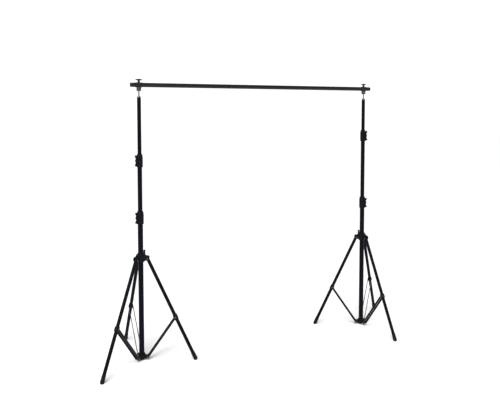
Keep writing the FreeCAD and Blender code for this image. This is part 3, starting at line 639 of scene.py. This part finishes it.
def wing_model(base, hand, reach):
    """One wing, drawn out from a block at the hub and swept outwards towards its lobe."""
    s = sizes()
    half = s.wing_thickness / 2
    root_top = 8 * MM
    foot = (base + 0.4 * MM, -half * 0.8, 3 * MM)
    head = (base + 7 * MM, half * 0.8, root_top)
    wing = block("wing", foot, head)
    edit(wing)
    for rise, outward, width in ((0.35, 0.6, 0.95), (0.35, 1.6, 1.0), (0.3, 2.6, 1.15)):
        pick(wing, "FACE", lambda face: (
            face.normal.z > 0.5 and face.calc_center_median().z > top_of(wing)
        ))
        step = (outward * MM, 0, rise * (reach - root_top))
        bpy.ops.mesh.extrude_region_move(TRANSFORM_OT_translate={"value": step})
        bpy.ops.transform.resize(value=(0.97, width, 1))
    leave_edit()
    if hand < 0:
        apply_place(wing, Matrix.Rotation(math.pi, 4, "X"))
    return soften(wing, 0.8 * MM, 2)


def top_of(piece):
    """Height just under the highest point of a piece in edit mode."""
    mesh = bmesh.from_edit_mesh(piece.data)
    return max(vertex.co.z for vertex in mesh.verts) - 0.01 * MM


def screw_model(tip, base):
    """Knob's screw on +X, with a rolled thread."""
    s = sizes()
    pitch = s.thread_pitch
    root = s.screw_radius - 0.7 * MM
    end = base - tip + MM
    profile = [(0, 0), (s.screw_radius - 0.8 * MM, 0)]
    height = 0.4 * MM
    while height < base - tip - pitch:
        profile += [(root, height), (s.screw_radius, height + pitch / 2)]
        height += pitch
    profile += [(root, height), (root, end), (0, end)]
    screw = turned("screw", profile, FEW_SIDES)
    apply_place(screw, Matrix.Translation((tip, 0, 0)) @ Matrix.Rotation(QUARTER, 4, "Y"))
    return shade(screw, 20)


def crown_model(headings, lock):
    """Crown on Z from the leg pivots' height: bell-shaped hub, forked arms and lock boss."""
    s = sizes()
    bore = CROWN_BORE
    hub = turned("hub", ring_profile((
        (bore, CROWN_FOOT + 0.5 * MM), (bore + 0.5 * MM, CROWN_FOOT), (20 * MM, CROWN_FOOT),
        (CROWN_RADIUS, -16 * MM), (CROWN_RADIUS, 15 * MM), (21 * MM, 19 * MM),
        (18.6 * MM, 31 * MM), (18.4 * MM, 34.2 * MM), (17.6 * MM, CROWN_TOP),
        (bore + 0.5 * MM, CROWN_TOP), (bore, 34.5 * MM),
    )))
    pieces = [hub]
    for heading in headings:
        for part in fork_parts():
            pieces.append(apply_place(part, Matrix.Rotation(heading, 4, "Z")))
    height = CROWN_LOCK_HEIGHT
    boss = rod("boss", 7 * MM, (bore + 1.5 * MM, 0, height), (26 * MM, 0, height))
    pieces.append(apply_place(boss, Matrix.Rotation(lock, 4, "Z")))
    crown = cast("crown", pieces, s.casting_voxel, 5)
    hole = rod("hole", s.screw_radius + SCREW_GAP, (0, 0, height), (32 * MM, 0, height))
    return shade(cut(crown, apply_place(hole, Matrix.Rotation(lock, 4, "Z"))), 40)


def fork_parts():
    """The parts of one forked arm along +X: root, roof, and a cheek with its rib on each side."""
    half = FORK_ROOT_HALF
    parts = [
        block("root", (17 * MM, -half, -10 * MM), (28 * MM, half, 17.5 * MM)),
        block("roof", (20 * MM, -half, 12.6 * MM), (46 * MM, half, 17 * MM)),
    ]
    reach, radius = FORK_REACH, FORK_RADIUS
    for side in (1, -1):
        near, far = sorted((side * FORK_INSIDE, side * FORK_OUTSIDE))
        parts += [
            block("cheek", (24 * MM, near, -radius), (42 * MM, far, 16 * MM)),
            rod("cheek_end", radius, (reach, near, 0), (reach, far, 0)),
            block("cheek_top", (reach, near, 0), (48.8 * MM, far, 12 * MM)),
            block("rib", (17 * MM, near, 10 * MM), (30 * MM, far, 21 * MM)),
        ]
    return parts


def spider_model(headings, height, pin_up):
    """Spider on Z from its underside: a round hub, and a tongue for each brace."""
    bore = SPIDER_BORE
    hub = turned("hub", [
        (0, 0), (19 * MM, 0), (SPIDER_RADIUS, 2 * MM), (SPIDER_RADIUS, height - 5 * MM),
        (20 * MM, height - 2 * MM), (18 * MM, height), (bore + 0.5 * MM, height),
        (bore, height - 0.5 * MM), (bore, SPIDER_FLOOR), (0, SPIDER_FLOOR),
    ])
    pieces = [hub]
    reach, radius, half = TONGUE_REACH, TONGUE_RADIUS, TONGUE_HALF
    for heading in headings:
        tongue = block(
            "tongue", (17 * MM, -half, pin_up - radius), (reach, half, pin_up + radius)
        )
        end = rod("tongue_end", radius, (reach, -half, pin_up), (reach, half, pin_up))
        for part in (tongue, end):
            pieces.append(apply_place(part, Matrix.Rotation(heading, 4, "Z")))
    return shade(cast("spider", pieces, sizes().casting_voxel, 5), 40)


def pin_model(grip):
    """Hinge pin across Y at the origin, with a domed head at both ends."""
    head = [
        (3 * MM, grip), (5 * MM, grip), (5 * MM, grip + 0.6 * MM), (4.4 * MM, grip + 1.3 * MM),
        (3 * MM, grip + 1.8 * MM), (1.4 * MM, grip + 2 * MM), (0, grip + 2 * MM),
    ]
    low = [(radius, -height) for radius, height in reversed(head)]
    pin = turned("pin", low + head, FEW_SIDES)
    apply_place(pin, Matrix.Rotation(-QUARTER, 4, "X"))
    return shade(pin, 35)


def foot_model(length):
    """Rubber foot in the leg's frame: a ribbed boot with a round end."""
    s = sizes()
    outer = s.foot_radius
    top = s.foot_grip - length
    inner = s.leg_radius + SEAT_GAP
    leg_end = 2 * MM - length
    groove = outer - 0.7 * MM
    ridges, dome_steps = 4, 12
    profile = [
        (0, leg_end), (inner, leg_end), (inner, top - 0.4 * MM), (inner + 0.3 * MM, top),
        (groove, top), (outer, top - 0.8 * MM), (outer, top - 3 * MM),
    ]
    for number in range(ridges):
        ridge = top - (5 + 4.5 * number) * MM
        profile += [
            (groove, ridge), (groove, ridge - 1.5 * MM),
            (outer, ridge - 2.2 * MM), (outer, ridge - 3.8 * MM),
        ]
    for step in range(dome_steps + 1):
        angle = QUARTER * step / dome_steps
        profile.append((outer * math.cos(angle), -length - outer * math.sin(angle)))
    return turned("foot", profile)


def flatten_foot(foot):
    """Trim a placed foot to the floor."""
    edit(foot)
    bpy.ops.mesh.select_all(action="SELECT")
    bpy.ops.mesh.bisect(
        plane_co=(0, 0, 0), plane_no=UP, use_fill=True, clear_inner=True, threshold=0
    )
    bpy.ops.mesh.select_all(action="SELECT")
    bpy.ops.mesh.remove_doubles(threshold=MERGE_GAP)
    leave_edit()
    return shade(foot, 35)


def bracket_model():
    """Sleeve round the leg at the brace's rivet, flat on both sides, with a rim at each end."""
    s = sizes()
    corner = Vector((12 * MM, 11.4 * MM, 13 * MM))
    rim = 0.7 * MM
    sleeve = block("bracket", -corner, corner)
    edit(sleeve)
    pick(sleeve, "EDGE", lambda edge: (
        abs(edge.verts[0].co.z - edge.verts[1].co.z) > corner.z
    ))
    bpy.ops.mesh.bevel(offset=6.5 * MM, segments=8, affect="EDGES")
    for end in (1, -1):
        pick(sleeve, "FACE", lambda face: face.normal.z * end > 0.9)
        bpy.ops.mesh.inset(thickness=rim)
        bpy.ops.transform.translate(value=(0, 0, end * -rim))
    leave_edit()
    soften(sleeve, 0.35 * MM, 2, 50)
    bore_radius, bore_half = s.leg_radius + SEAT_GAP, 20 * MM
    bore = rod("bore", bore_radius, (0, 0, -bore_half), (0, 0, bore_half), BORE_SIDES)
    return shade(cut(sleeve, bore), 35)


def strip_model(length, side):
    """One brace strip in the brace's frame, drawn out from a disc, with its pin hole."""
    s = sizes()
    inner = side * s.strip_inside
    outer = side * (s.strip_inside + s.strip_thickness)
    strip = rod("strip", s.strip_width / 2, (0, inner, 0), (0, outer, 0))
    edit(strip)
    pick(strip, "VERT", lambda vertex: vertex.co.z > 0.01 * MM)
    bpy.ops.transform.translate(value=(0, 0, length))
    leave_edit()
    soften(strip, 0.35 * MM, 2, 60)
    hole_radius = 3.1 * MM
    hole = rod("hole", hole_radius, (0, inner * 0.5, 0), (0, outer * 1.5, 0), FEW_SIDES)
    return cut(strip, hole)


def rivet_model(length, side):
    """Domed rivet head on the outside of a strip's upper end."""
    s = sizes()
    outer = s.strip_inside + s.strip_thickness
    head = turned("rivet", [
        (0, 0), (4.5 * MM, 0), (4.5 * MM, 0.3 * MM), (3.9 * MM, 0.9 * MM),
        (2.6 * MM, 1.4 * MM), (0, 1.6 * MM),
    ], FEW_SIDES)
    lie = Matrix.Rotation(-side * QUARTER, 4, "X")
    return apply_place(head, Matrix.Translation((0, side * outer, length)) @ lie)


def spigot_model(low, high, top_radius):
    """Plug, rim and cone on the top tube's end at the origin, and the threaded stud above them."""
    s = sizes()
    neck = top_radius - 1.25 * MM
    stud = s.stud_radius
    root = stud - 0.62 * MM
    pitch = s.thread_pitch
    profile = [
        (0, low), (neck, low), (neck, 0), (top_radius - 0.1 * MM, 0), (top_radius, 0.3 * MM),
        (top_radius, 1.7 * MM), (top_radius - 0.4 * MM, 2.1 * MM), (5.9 * MM, 9.4 * MM),
        (5.5 * MM, 9.9 * MM), (root, 10 * MM),
    ]
    height = 10.4 * MM
    while height < high - pitch * 1.6:
        profile += [(root, height), (stud, height + pitch * 0.42), (stud, height + pitch * 0.52)]
        height += pitch
    profile += [(root, height), (root, high - 0.4 * MM), (root - 0.5 * MM, high), (0, high)]
    return shade(turned("spigot", profile, 40), 25)


def socket_model(bar_radius, stem_deep):
    """Sleeve along X at the origin with a stem below; the stud's hole goes through both."""
    s = sizes()
    outside = bar_radius + s.socket_wall
    half = 19 * MM
    bore = bar_radius + SEAT_GAP
    sleeve = turned("sleeve", ring_profile((
        (bore, -half + 0.4 * MM), (bore + 0.4 * MM, -half), (outside - 0.8 * MM, -half),
        (outside, -half + 0.9 * MM), (outside, half - 0.9 * MM), (outside - 0.8 * MM, half),
        (bore + 0.4 * MM, half), (bore, half - 0.4 * MM),
    )), MANY_SIDES)
    apply_place(sleeve, Matrix.Rotation(QUARTER, 4, "Y"))
    low = -bar_radius - stem_deep
    stem_top = -bar_radius - 0.6 * MM
    stem_radius = 13 * MM
    hole = s.stud_radius + SLIDE_GAP
    stem = turned("stem", ring_profile((
        (hole, low), (10.6 * MM, low), (11.2 * MM, low + 0.3 * MM), (12.8 * MM, low + 1.9 * MM),
        (stem_radius, low + 2.6 * MM), (stem_radius, low + 12 * MM),
        (stem_radius, stem_top), (hole, stem_top),
    )), MANY_SIDES)
    socket = cast("socket", [sleeve, stem], 0.45 * MM, 4)
    low_end, high_end, side_end = low - OVERCUT, outside + OVERCUT, half + OVERCUT
    cut(socket, rod("hole", hole, (0, 0, low_end), (0, 0, high_end), FEW_SIDES))
    cut(socket, rod("bore", bore, (-side_end, 0, 0), (side_end, 0, 0), MANY_SIDES))
    return shade(socket, 40)


def coat_sleeve(socket, stem_top):
    """Give the sleeve above the stem the crossbar's coat."""
    socket.data.materials.append(finish("bar"))
    for face in socket.data.polygons:
        if face.center.z > stem_top:
            face.material_index = 1


def wing_nut_model(height):
    """Wing nut from its base: a waisted boss with two flat wings that lift at their tips."""
    s = sizes()
    hole = s.stud_radius + SCREW_GAP
    hole_top = 14 * MM
    vent = 0.6 * MM
    boss = turned("boss", ring_profile((
        (hole, 0), (6.4 * MM, 0), (7 * MM, 0.6 * MM), (6.8 * MM, 3 * MM), (6 * MM, 7 * MM),
        (7 * MM, 11 * MM), (8.3 * MM, 14 * MM), (8.3 * MM, height - 2.6 * MM),
        (7 * MM, height - 0.8 * MM), (4 * MM, height - 0.2 * MM),
        (vent, height), (vent, hole_top), (hole, hole_top),
    )))
    pieces = [boss]
    half = 2.9 * MM
    for hand in (1, -1):
        near, far = sorted((hand * 4.6 * MM, hand * 9 * MM))
        low, high = height - 8.8 * MM, height - 1.6 * MM
        wing = block("wing", (near, -half, low), (far, half, high))
        edit(wing)
        for out, lift, deep in ((3.6, 0.1, 0.86), (3.2, 0.2, 1.06), (1.9, 0.1, 0.96)):
            pick(wing, "FACE", lambda face: face.normal.x * hand > 0.6)
            step = (hand * out * MM, 0, lift * MM)
            bpy.ops.mesh.extrude_region_move(TRANSFORM_OT_translate={"value": step})
            bpy.ops.transform.resize(value=(1, 0.97, deep))
        leave_edit()
        pieces.append(soften(wing, 1.1 * MM, 3))
    return shade(cast("wing_nut", pieces, s.knob_voxel * 0.9, 7), 60)


def bar_cap_model(bar_radius, neck_length, dome):
    """Domed cap on X: its neck goes into the bar on -X, and its rim sits on the bar's end."""
    neck = bar_radius - 1.6 * MM
    rim = bar_radius - SEAT_GAP
    rim_top = 1.6 * MM
    steps, fullness = 12, 0.7
    profile = [
        (0, -neck_length), (neck - 0.8 * MM, -neck_length), (neck, -neck_length + MM), (neck, 0),
        (rim, 0), (rim, rim_top),
    ]
    for step in range(1, steps + 1):
        angle = QUARTER * step / steps
        radius = rim * math.cos(angle) ** fullness if step < steps else 0
        profile.append((radius, rim_top + (dome - rim_top) * math.sin(angle)))
    cap = turned("cap", profile)
    apply_place(cap, Matrix.Rotation(QUARTER, 4, "Y"))
    return shade(cap, 35)


# ---- operators ----------------------------------------------------------------------------------

class SUPPORT_OT_finishes(bpy.types.Operator):
    """Make the finishes and give the tubes and rings theirs"""

    bl_idname = "support.finishes"
    bl_label = "Tubes and Finishes"

    def execute(self, context):
        make_finishes()
        kinds = (("_leg_", "leg"), ("_tube", "mast"), ("crossbar", "bar"), ("_bush", "nylon"))
        for name, node in frame["nodes"].items():
            kind = next((finish_name for part, finish_name in kinds if part in name), "casting")
            node.data.materials.clear()
            node.data.materials.append(finish(kind))
        return {"FINISHED"}


class SUPPORT_OT_collars(bpy.types.Operator):
    """Model the clamp collars"""

    bl_idname = "support.collars"
    bl_label = "Clamp Collars"

    def execute(self, context):
        levels = (("lower", "lower", "mid", "base"), ("upper", "mid", "top", "mid"))
        for level, own_tube, inner_tube, body in levels:
            low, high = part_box(f"left_{level}_collar")
            own = tube_radius(f"left_{own_tube}_tube")
            inner = tube_radius(f"left_{inner_tube}_tube")
            model = collar_model(own, inner, high.z - low.z)
            for side in SIDES:
                node = f"{side}_{level}_collar"
                turn = joint(f"{side}_{level}_knob_turn")
                point = (mast_axis(side), 0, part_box(node)[0].z)
                collar = repeat(model, node + "_casting", at(point, heading_of(turn["axis"])))
                deliver(collar, f"{side}_{body}", "black_casting", finish("casting"), node)
            discard(model)
        return {"FINISHED"}


class SUPPORT_OT_knobs(bpy.types.Operator):
    """Model the clamp knobs and the crowns' lock knobs with their screws"""

    bl_idname = "support.knobs"
    bl_label = "Wing Knobs"

    def execute(self, context):
        s = sizes()
        lower = tube_radius("left_lower_tube")
        mid = tube_radius("left_mid_tube")
        top = tube_radius("left_top_tube")
        standoff = s.collar_wall + KNOB_STANDOFF
        kinds = (
            ("lower_knob", "lower_knob", mid, lower + standoff, CLAMP_KNOB_SPAN),
            ("upper_knob", "upper_knob", top, mid + standoff, CLAMP_KNOB_SPAN),
            ("crown_lock_knob", "crown_knob", lower, LOCK_KNOB_BASE, LOCK_KNOB_SPAN),
        )
        for node, body, tip, base, span in kinds:
            knob_model = wing_knob_model(base, span)
            shank_model = screw_model(tip + SCREW_TIP_GAP, base)
            for side in SIDES:
                turn = joint(f"{side}_{body}_turn")
                place = at(turn["pos_m"], heading_of(turn["axis"]))
                knob = repeat(knob_model, f"{side}_{node}_wings", place)
                deliver(
                    knob, f"{side}_{body}", "knob_plastic", finish("plastic"), f"{side}_{node}"
                )
                shank = repeat(shank_model, f"{side}_{node}_screw", place)
                deliver(shank, f"{side}_{body}", "bright_steel", finish("steel"))
            discard(knob_model, shank_model)
        return {"FINISHED"}


class SUPPORT_OT_crowns(bpy.types.Operator):
    """Model the crowns and their leg pins"""

    bl_idname = "support.crowns"
    bl_label = "Crowns"

    def execute(self, context):
        pin = pin_model(FORK_OUTSIDE)
        for side in SIDES:
            places = [leg_place(side, number) for number in LEGS]
            folds = [joint(f"{side}_leg_{number}_fold") for number in LEGS]
            headings = [heading_of(Vector(fold["axis"]).cross(UP)) for fold in folds]
            lock = heading_of(joint(f"{side}_crown_knob_turn")["axis"])
            crown = crown_model(headings, lock)
            crown.name = f"{side}_crown_casting"
            apply_place(crown, at((mast_axis(side), 0, places[0].translation.z)))
            deliver(crown, f"{side}_crown", "black_casting", finish("casting"), f"{side}_crown")
            pins = [
                repeat(pin, "pin", at(place.translation, heading))
                for place, heading in zip(places, headings)
            ]
            group = join(f"{side}_crown_rivets", pins)
            deliver(group, f"{side}_crown", "bright_steel", finish("pin"), f"{side}_crown_pins")
        discard(pin)
        return {"FINISHED"}


class SUPPORT_OT_spiders(bpy.types.Operator):
    """Model the spiders and their brace pins"""

    bl_idname = "support.spiders"
    bl_label = "Spiders"

    def execute(self, context):
        pin = pin_model(SPIDER_PIN_GRIP)
        for side in SIDES:
            low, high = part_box(f"{side}_spider")
            folds = [joint(f"{side}_brace_{number}_fold") for number in LEGS]
            headings = [heading_of(-Vector(fold["axis"]).cross(UP)) for fold in folds]
            spider = spider_model(headings, high.z - low.z, folds[0]["pos_m"][2] - low.z)
            spider.name = f"{side}_spider_casting"
            apply_place(spider, at((mast_axis(side), 0, low.z)))
            deliver(spider, f"{side}_base", "black_casting", finish("casting"), f"{side}_spider")
            pins = [
                repeat(pin, "pin", at(fold["pos_m"], heading))
                for fold, heading in zip(folds, headings)
            ]
            group = join(f"{side}_spider_rivets", pins)
            deliver(group, f"{side}_base", "bright_steel", finish("pin"), f"{side}_spider_pins")
        discard(pin)
        return {"FINISHED"}


class SUPPORT_OT_legs(bpy.types.Operator):
    """Model the rubber feet and the sleeves on the legs"""

    bl_idname = "support.legs"
    bl_label = "Feet and Leg Sleeves"

    def execute(self, context):
        foot = foot_model(leg_length("left", 1))
        sleeve = bracket_model()
        for side in SIDES:
            for number in LEGS:
                place = leg_place(side, number)
                body = f"{side}_leg_{number}"
                boot = flatten_foot(repeat(foot, f"{side}_foot_{number}_boot", place))
                deliver(boot, body, "rubber_foot", finish("rubber"), f"{side}_foot_{number}")
                grip = place @ Matrix.Translation((0, 0, -sizes().brace_grip))
                clip = repeat(sleeve, f"{side}_leg_{number}_sleeve", grip)
                bracket = f"{side}_leg_bracket_{number}"
                deliver(clip, body, "bracket_plastic", finish("rubber"), bracket)
        discard(foot, sleeve)
        return {"FINISHED"}


class SUPPORT_OT_braces(bpy.types.Operator):
    """Model the braces: two strips each, and the rivet's heads"""

    bl_idname = "support.braces"
    bl_label = "Braces"

    def execute(self, context):
        length = brace_place("left", 1)[1]
        strips = join("strips", [strip_model(length, 1), strip_model(length, -1)])
        shade(strips, 35)
        heads = shade(join("heads", [rivet_model(length, 1), rivet_model(length, -1)]), 35)
        for side in SIDES:
            for number in LEGS:
                place = brace_place(side, number)[0]
                body = f"{side}_brace_{number}"
                pair = repeat(strips, body + "_strips", place)
                deliver(pair, body, "brace_paint", finish("strip"), body)
                rivet = repeat(heads, body + "_rivet", place)
                deliver(rivet, body, "bright_steel", finish("pin"))
        discard(strips, heads)
        return {"FINISHED"}


class SUPPORT_OT_spigots(bpy.types.Operator):
    """Model the plugs with their threaded studs"""

    bl_idname = "support.spigots"
    bl_label = "Spigots"

    def execute(self, context):
        low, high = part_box("left_spigot")
        tube_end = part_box("left_top_tube")[1].z
        model = spigot_model(low.z - tube_end, high.z - tube_end, tube_radius("left_top_tube"))
        for side in SIDES:
            spigot = repeat(model, f"{side}_spigot_stud", at((mast_axis(side), 0, tube_end)))
            deliver(spigot, f"{side}_top", "bright_steel", finish("steel"), f"{side}_spigot")
        discard(model)
        return {"FINISHED"}


class SUPPORT_OT_sockets(bpy.types.Operator):
    """Model the sockets, the wing nuts and the caps of the crossbar"""

    bl_idname = "support.sockets"
    bl_label = "Sockets, Nuts and Caps"

    def execute(self, context):
        bar_low, bar_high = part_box("crossbar_left")
        bar_radius = (bar_high.z - bar_low.z) / 2
        bar_height = (bar_high.z + bar_low.z) / 2
        socket = socket_model(bar_radius, bar_low.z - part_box("bar_sockets")[0].z)
        nut_low, nut_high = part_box("wing_nut_left")
        nut = wing_nut_model(nut_high.z - nut_low.z)
        bar_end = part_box("crossbar_right")[1].x
        cap = bar_cap_model(bar_radius, CAP_NECK_LENGTH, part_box("bar_end_caps")[1].x - bar_end)
        for side, heading in (("left", math.pi), ("right", 0)):
            mast = mast_axis(side)
            piece = repeat(socket, f"{side}_bar_socket", at((mast, 0, bar_height)))
            deliver(piece, "crossbar", "socket_paint", finish("socket"), "bar_sockets")
            coat_sleeve(piece, bar_height - bar_radius)
            piece = repeat(nut, f"wing_nut_{side}_wings", at((mast, 0, nut_low.z)))
            deliver(piece, f"wing_nut_{side}", "knob_plastic", finish("nut"), f"wing_nut_{side}")
            end = bar_end * (1 if side == "right" else -1)
            piece = repeat(cap, f"{side}_bar_cap", at((end, 0, bar_height), heading))
            deliver(piece, "crossbar", "cap_plastic", finish("cap"), "bar_end_caps")
        discard(socket, nut, cap)
        return {"FINISHED"}


class SUPPORT_OT_stage(bpy.types.Operator):
    """Lay the floor, set the lights and place the camera"""

    bl_idname = "support.stage"
    bl_label = "Studio Stage"

    def execute(self, context):
        make_floor()
        make_room()
        make_lamps()
        make_camera()
        context.scene.view_settings.view_transform = "Standard"
        return {"FINISHED"}


def make_floor():
    clear_selection()
    bpy.ops.mesh.primitive_plane_add(size=FLOOR_SIZE, location=(0, 0, 0))
    floor = bpy.context.object
    floor.name = "studio_floor"
    material = bpy.data.materials.new("studio_floor")
    material.use_nodes = True
    tree = material.node_tree
    shader = tree.nodes["Principled BSDF"]
    shader.inputs["Base Color"].default_value = (*bpy.context.scene.support_stage.floor, 1)
    shader.inputs["Roughness"].default_value = 0.9
    shader.inputs["Specular IOR Level"].default_value = 0.1
    floor.data.materials.append(material)


def make_room():
    """The world: a soft white room, and a brighter sweep behind it that only the camera sees."""
    world = bpy.data.worlds.new("studio")
    bpy.context.scene.world = world
    world.use_nodes = True
    tree = world.node_tree
    room = tree.nodes["Background"]
    room.inputs["Color"].default_value = (1, 1, 1, 1)
    room.inputs["Strength"].default_value = bpy.context.scene.support_stage.room
    sweep = tree.nodes.new("ShaderNodeBackground")
    sweep.inputs["Color"].default_value = (1, 1, 1, 1)
    sweep.inputs["Strength"].default_value = SWEEP_STRENGTH
    seen = tree.nodes.new("ShaderNodeLightPath")
    mix = tree.nodes.new("ShaderNodeMixShader")
    tree.links.new(seen.outputs["Is Camera Ray"], mix.inputs["Fac"])
    tree.links.new(room.outputs["Background"], mix.inputs[1])
    tree.links.new(sweep.outputs["Background"], mix.inputs[2])
    tree.links.new(mix.outputs["Shader"], tree.nodes["World Output"].inputs["Surface"])


def make_lamps():
    """A broad soft overhead light, and a lamp at each side of the camera."""
    overhead = bpy.data.lights.new("overhead", "SUN")
    overhead.energy = bpy.context.scene.support_stage.overhead
    overhead.angle = OVERHEAD_SPREAD
    place_lamp(overhead, OVERHEAD_PLACE)
    for name, spot, size, power in LAMPS:
        light = bpy.data.lights.new(name, "AREA")
        light.energy = power
        light.size = size
        place_lamp(light, spot)


def place_lamp(light, spot):
    """Hang a light at a spot, aimed at the middle of the stands."""
    lamp = bpy.data.objects.new(light.name, light)
    lamp.location = spot
    lamp.rotation_euler = (Vector(LAMP_AIM) - Vector(spot)).to_track_quat("-Z", "Y").to_euler()
    bpy.context.scene.collection.objects.link(lamp)


def make_camera():
    stage = bpy.context.scene.support_stage
    data = bpy.data.cameras.new("camera")
    data.lens = stage.lens
    data.sensor_width = SENSOR_WIDTH
    data.shift_y = stage.rise
    camera = bpy.data.objects.new("camera", data)
    camera.location = stage.eye
    camera.rotation_euler = (QUARTER - stage.dip, 0, -stage.heading)
    bpy.context.scene.collection.objects.link(camera)
    bpy.context.scene.camera = camera


OPERATORS = (
    SUPPORT_OT_finishes,
    SUPPORT_OT_collars,
    SUPPORT_OT_knobs,
    SUPPORT_OT_crowns,
    SUPPORT_OT_spiders,
    SUPPORT_OT_legs,
    SUPPORT_OT_braces,
    SUPPORT_OT_spigots,
    SUPPORT_OT_sockets,
    SUPPORT_OT_stage,
)


class SUPPORT_PT_panel(bpy.types.Panel):
    """Lists the steps that build the support system"""

    bl_label = "Background Support"
    bl_idname = "SUPPORT_PT_panel"
    bl_space_type = "VIEW_3D"
    bl_region_type = "UI"
    bl_category = "Backdrop"

    def draw(self, context):
        for step in OPERATORS:
            self.layout.operator(step.bl_idname)
        for group in ("support_sizes", "support_finish", "support_stage"):
            settings = getattr(context.scene, group)
            for name in settings.__annotations__:
                self.layout.prop(settings, name)


GROUPS = (
    ("support_sizes", SupportSizes),
    ("support_finish", SupportFinish),
    ("support_stage", SupportStage),
)


def register():
    for name, group in GROUPS:
        bpy.utils.register_class(group)
        setattr(bpy.types.Scene, name, PointerProperty(type=group))
    for item in (*OPERATORS, SUPPORT_PT_panel):
        bpy.utils.register_class(item)


def unregister():
    for item in (SUPPORT_PT_panel, *reversed(OPERATORS)):
        bpy.utils.unregister_class(item)
    for name, group in reversed(GROUPS):
        delattr(bpy.types.Scene, name)
        bpy.utils.unregister_class(group)


def main():
    register()
    bpy.ops.support.finishes()
    bpy.ops.support.collars()
    bpy.ops.support.knobs()
    bpy.ops.support.crowns()
    bpy.ops.support.spiders()
    bpy.ops.support.legs()
    bpy.ops.support.braces()
    bpy.ops.support.spigots()
    bpy.ops.support.sockets()
    bpy.ops.support.stage()


if __name__ == "__main__":
    main()
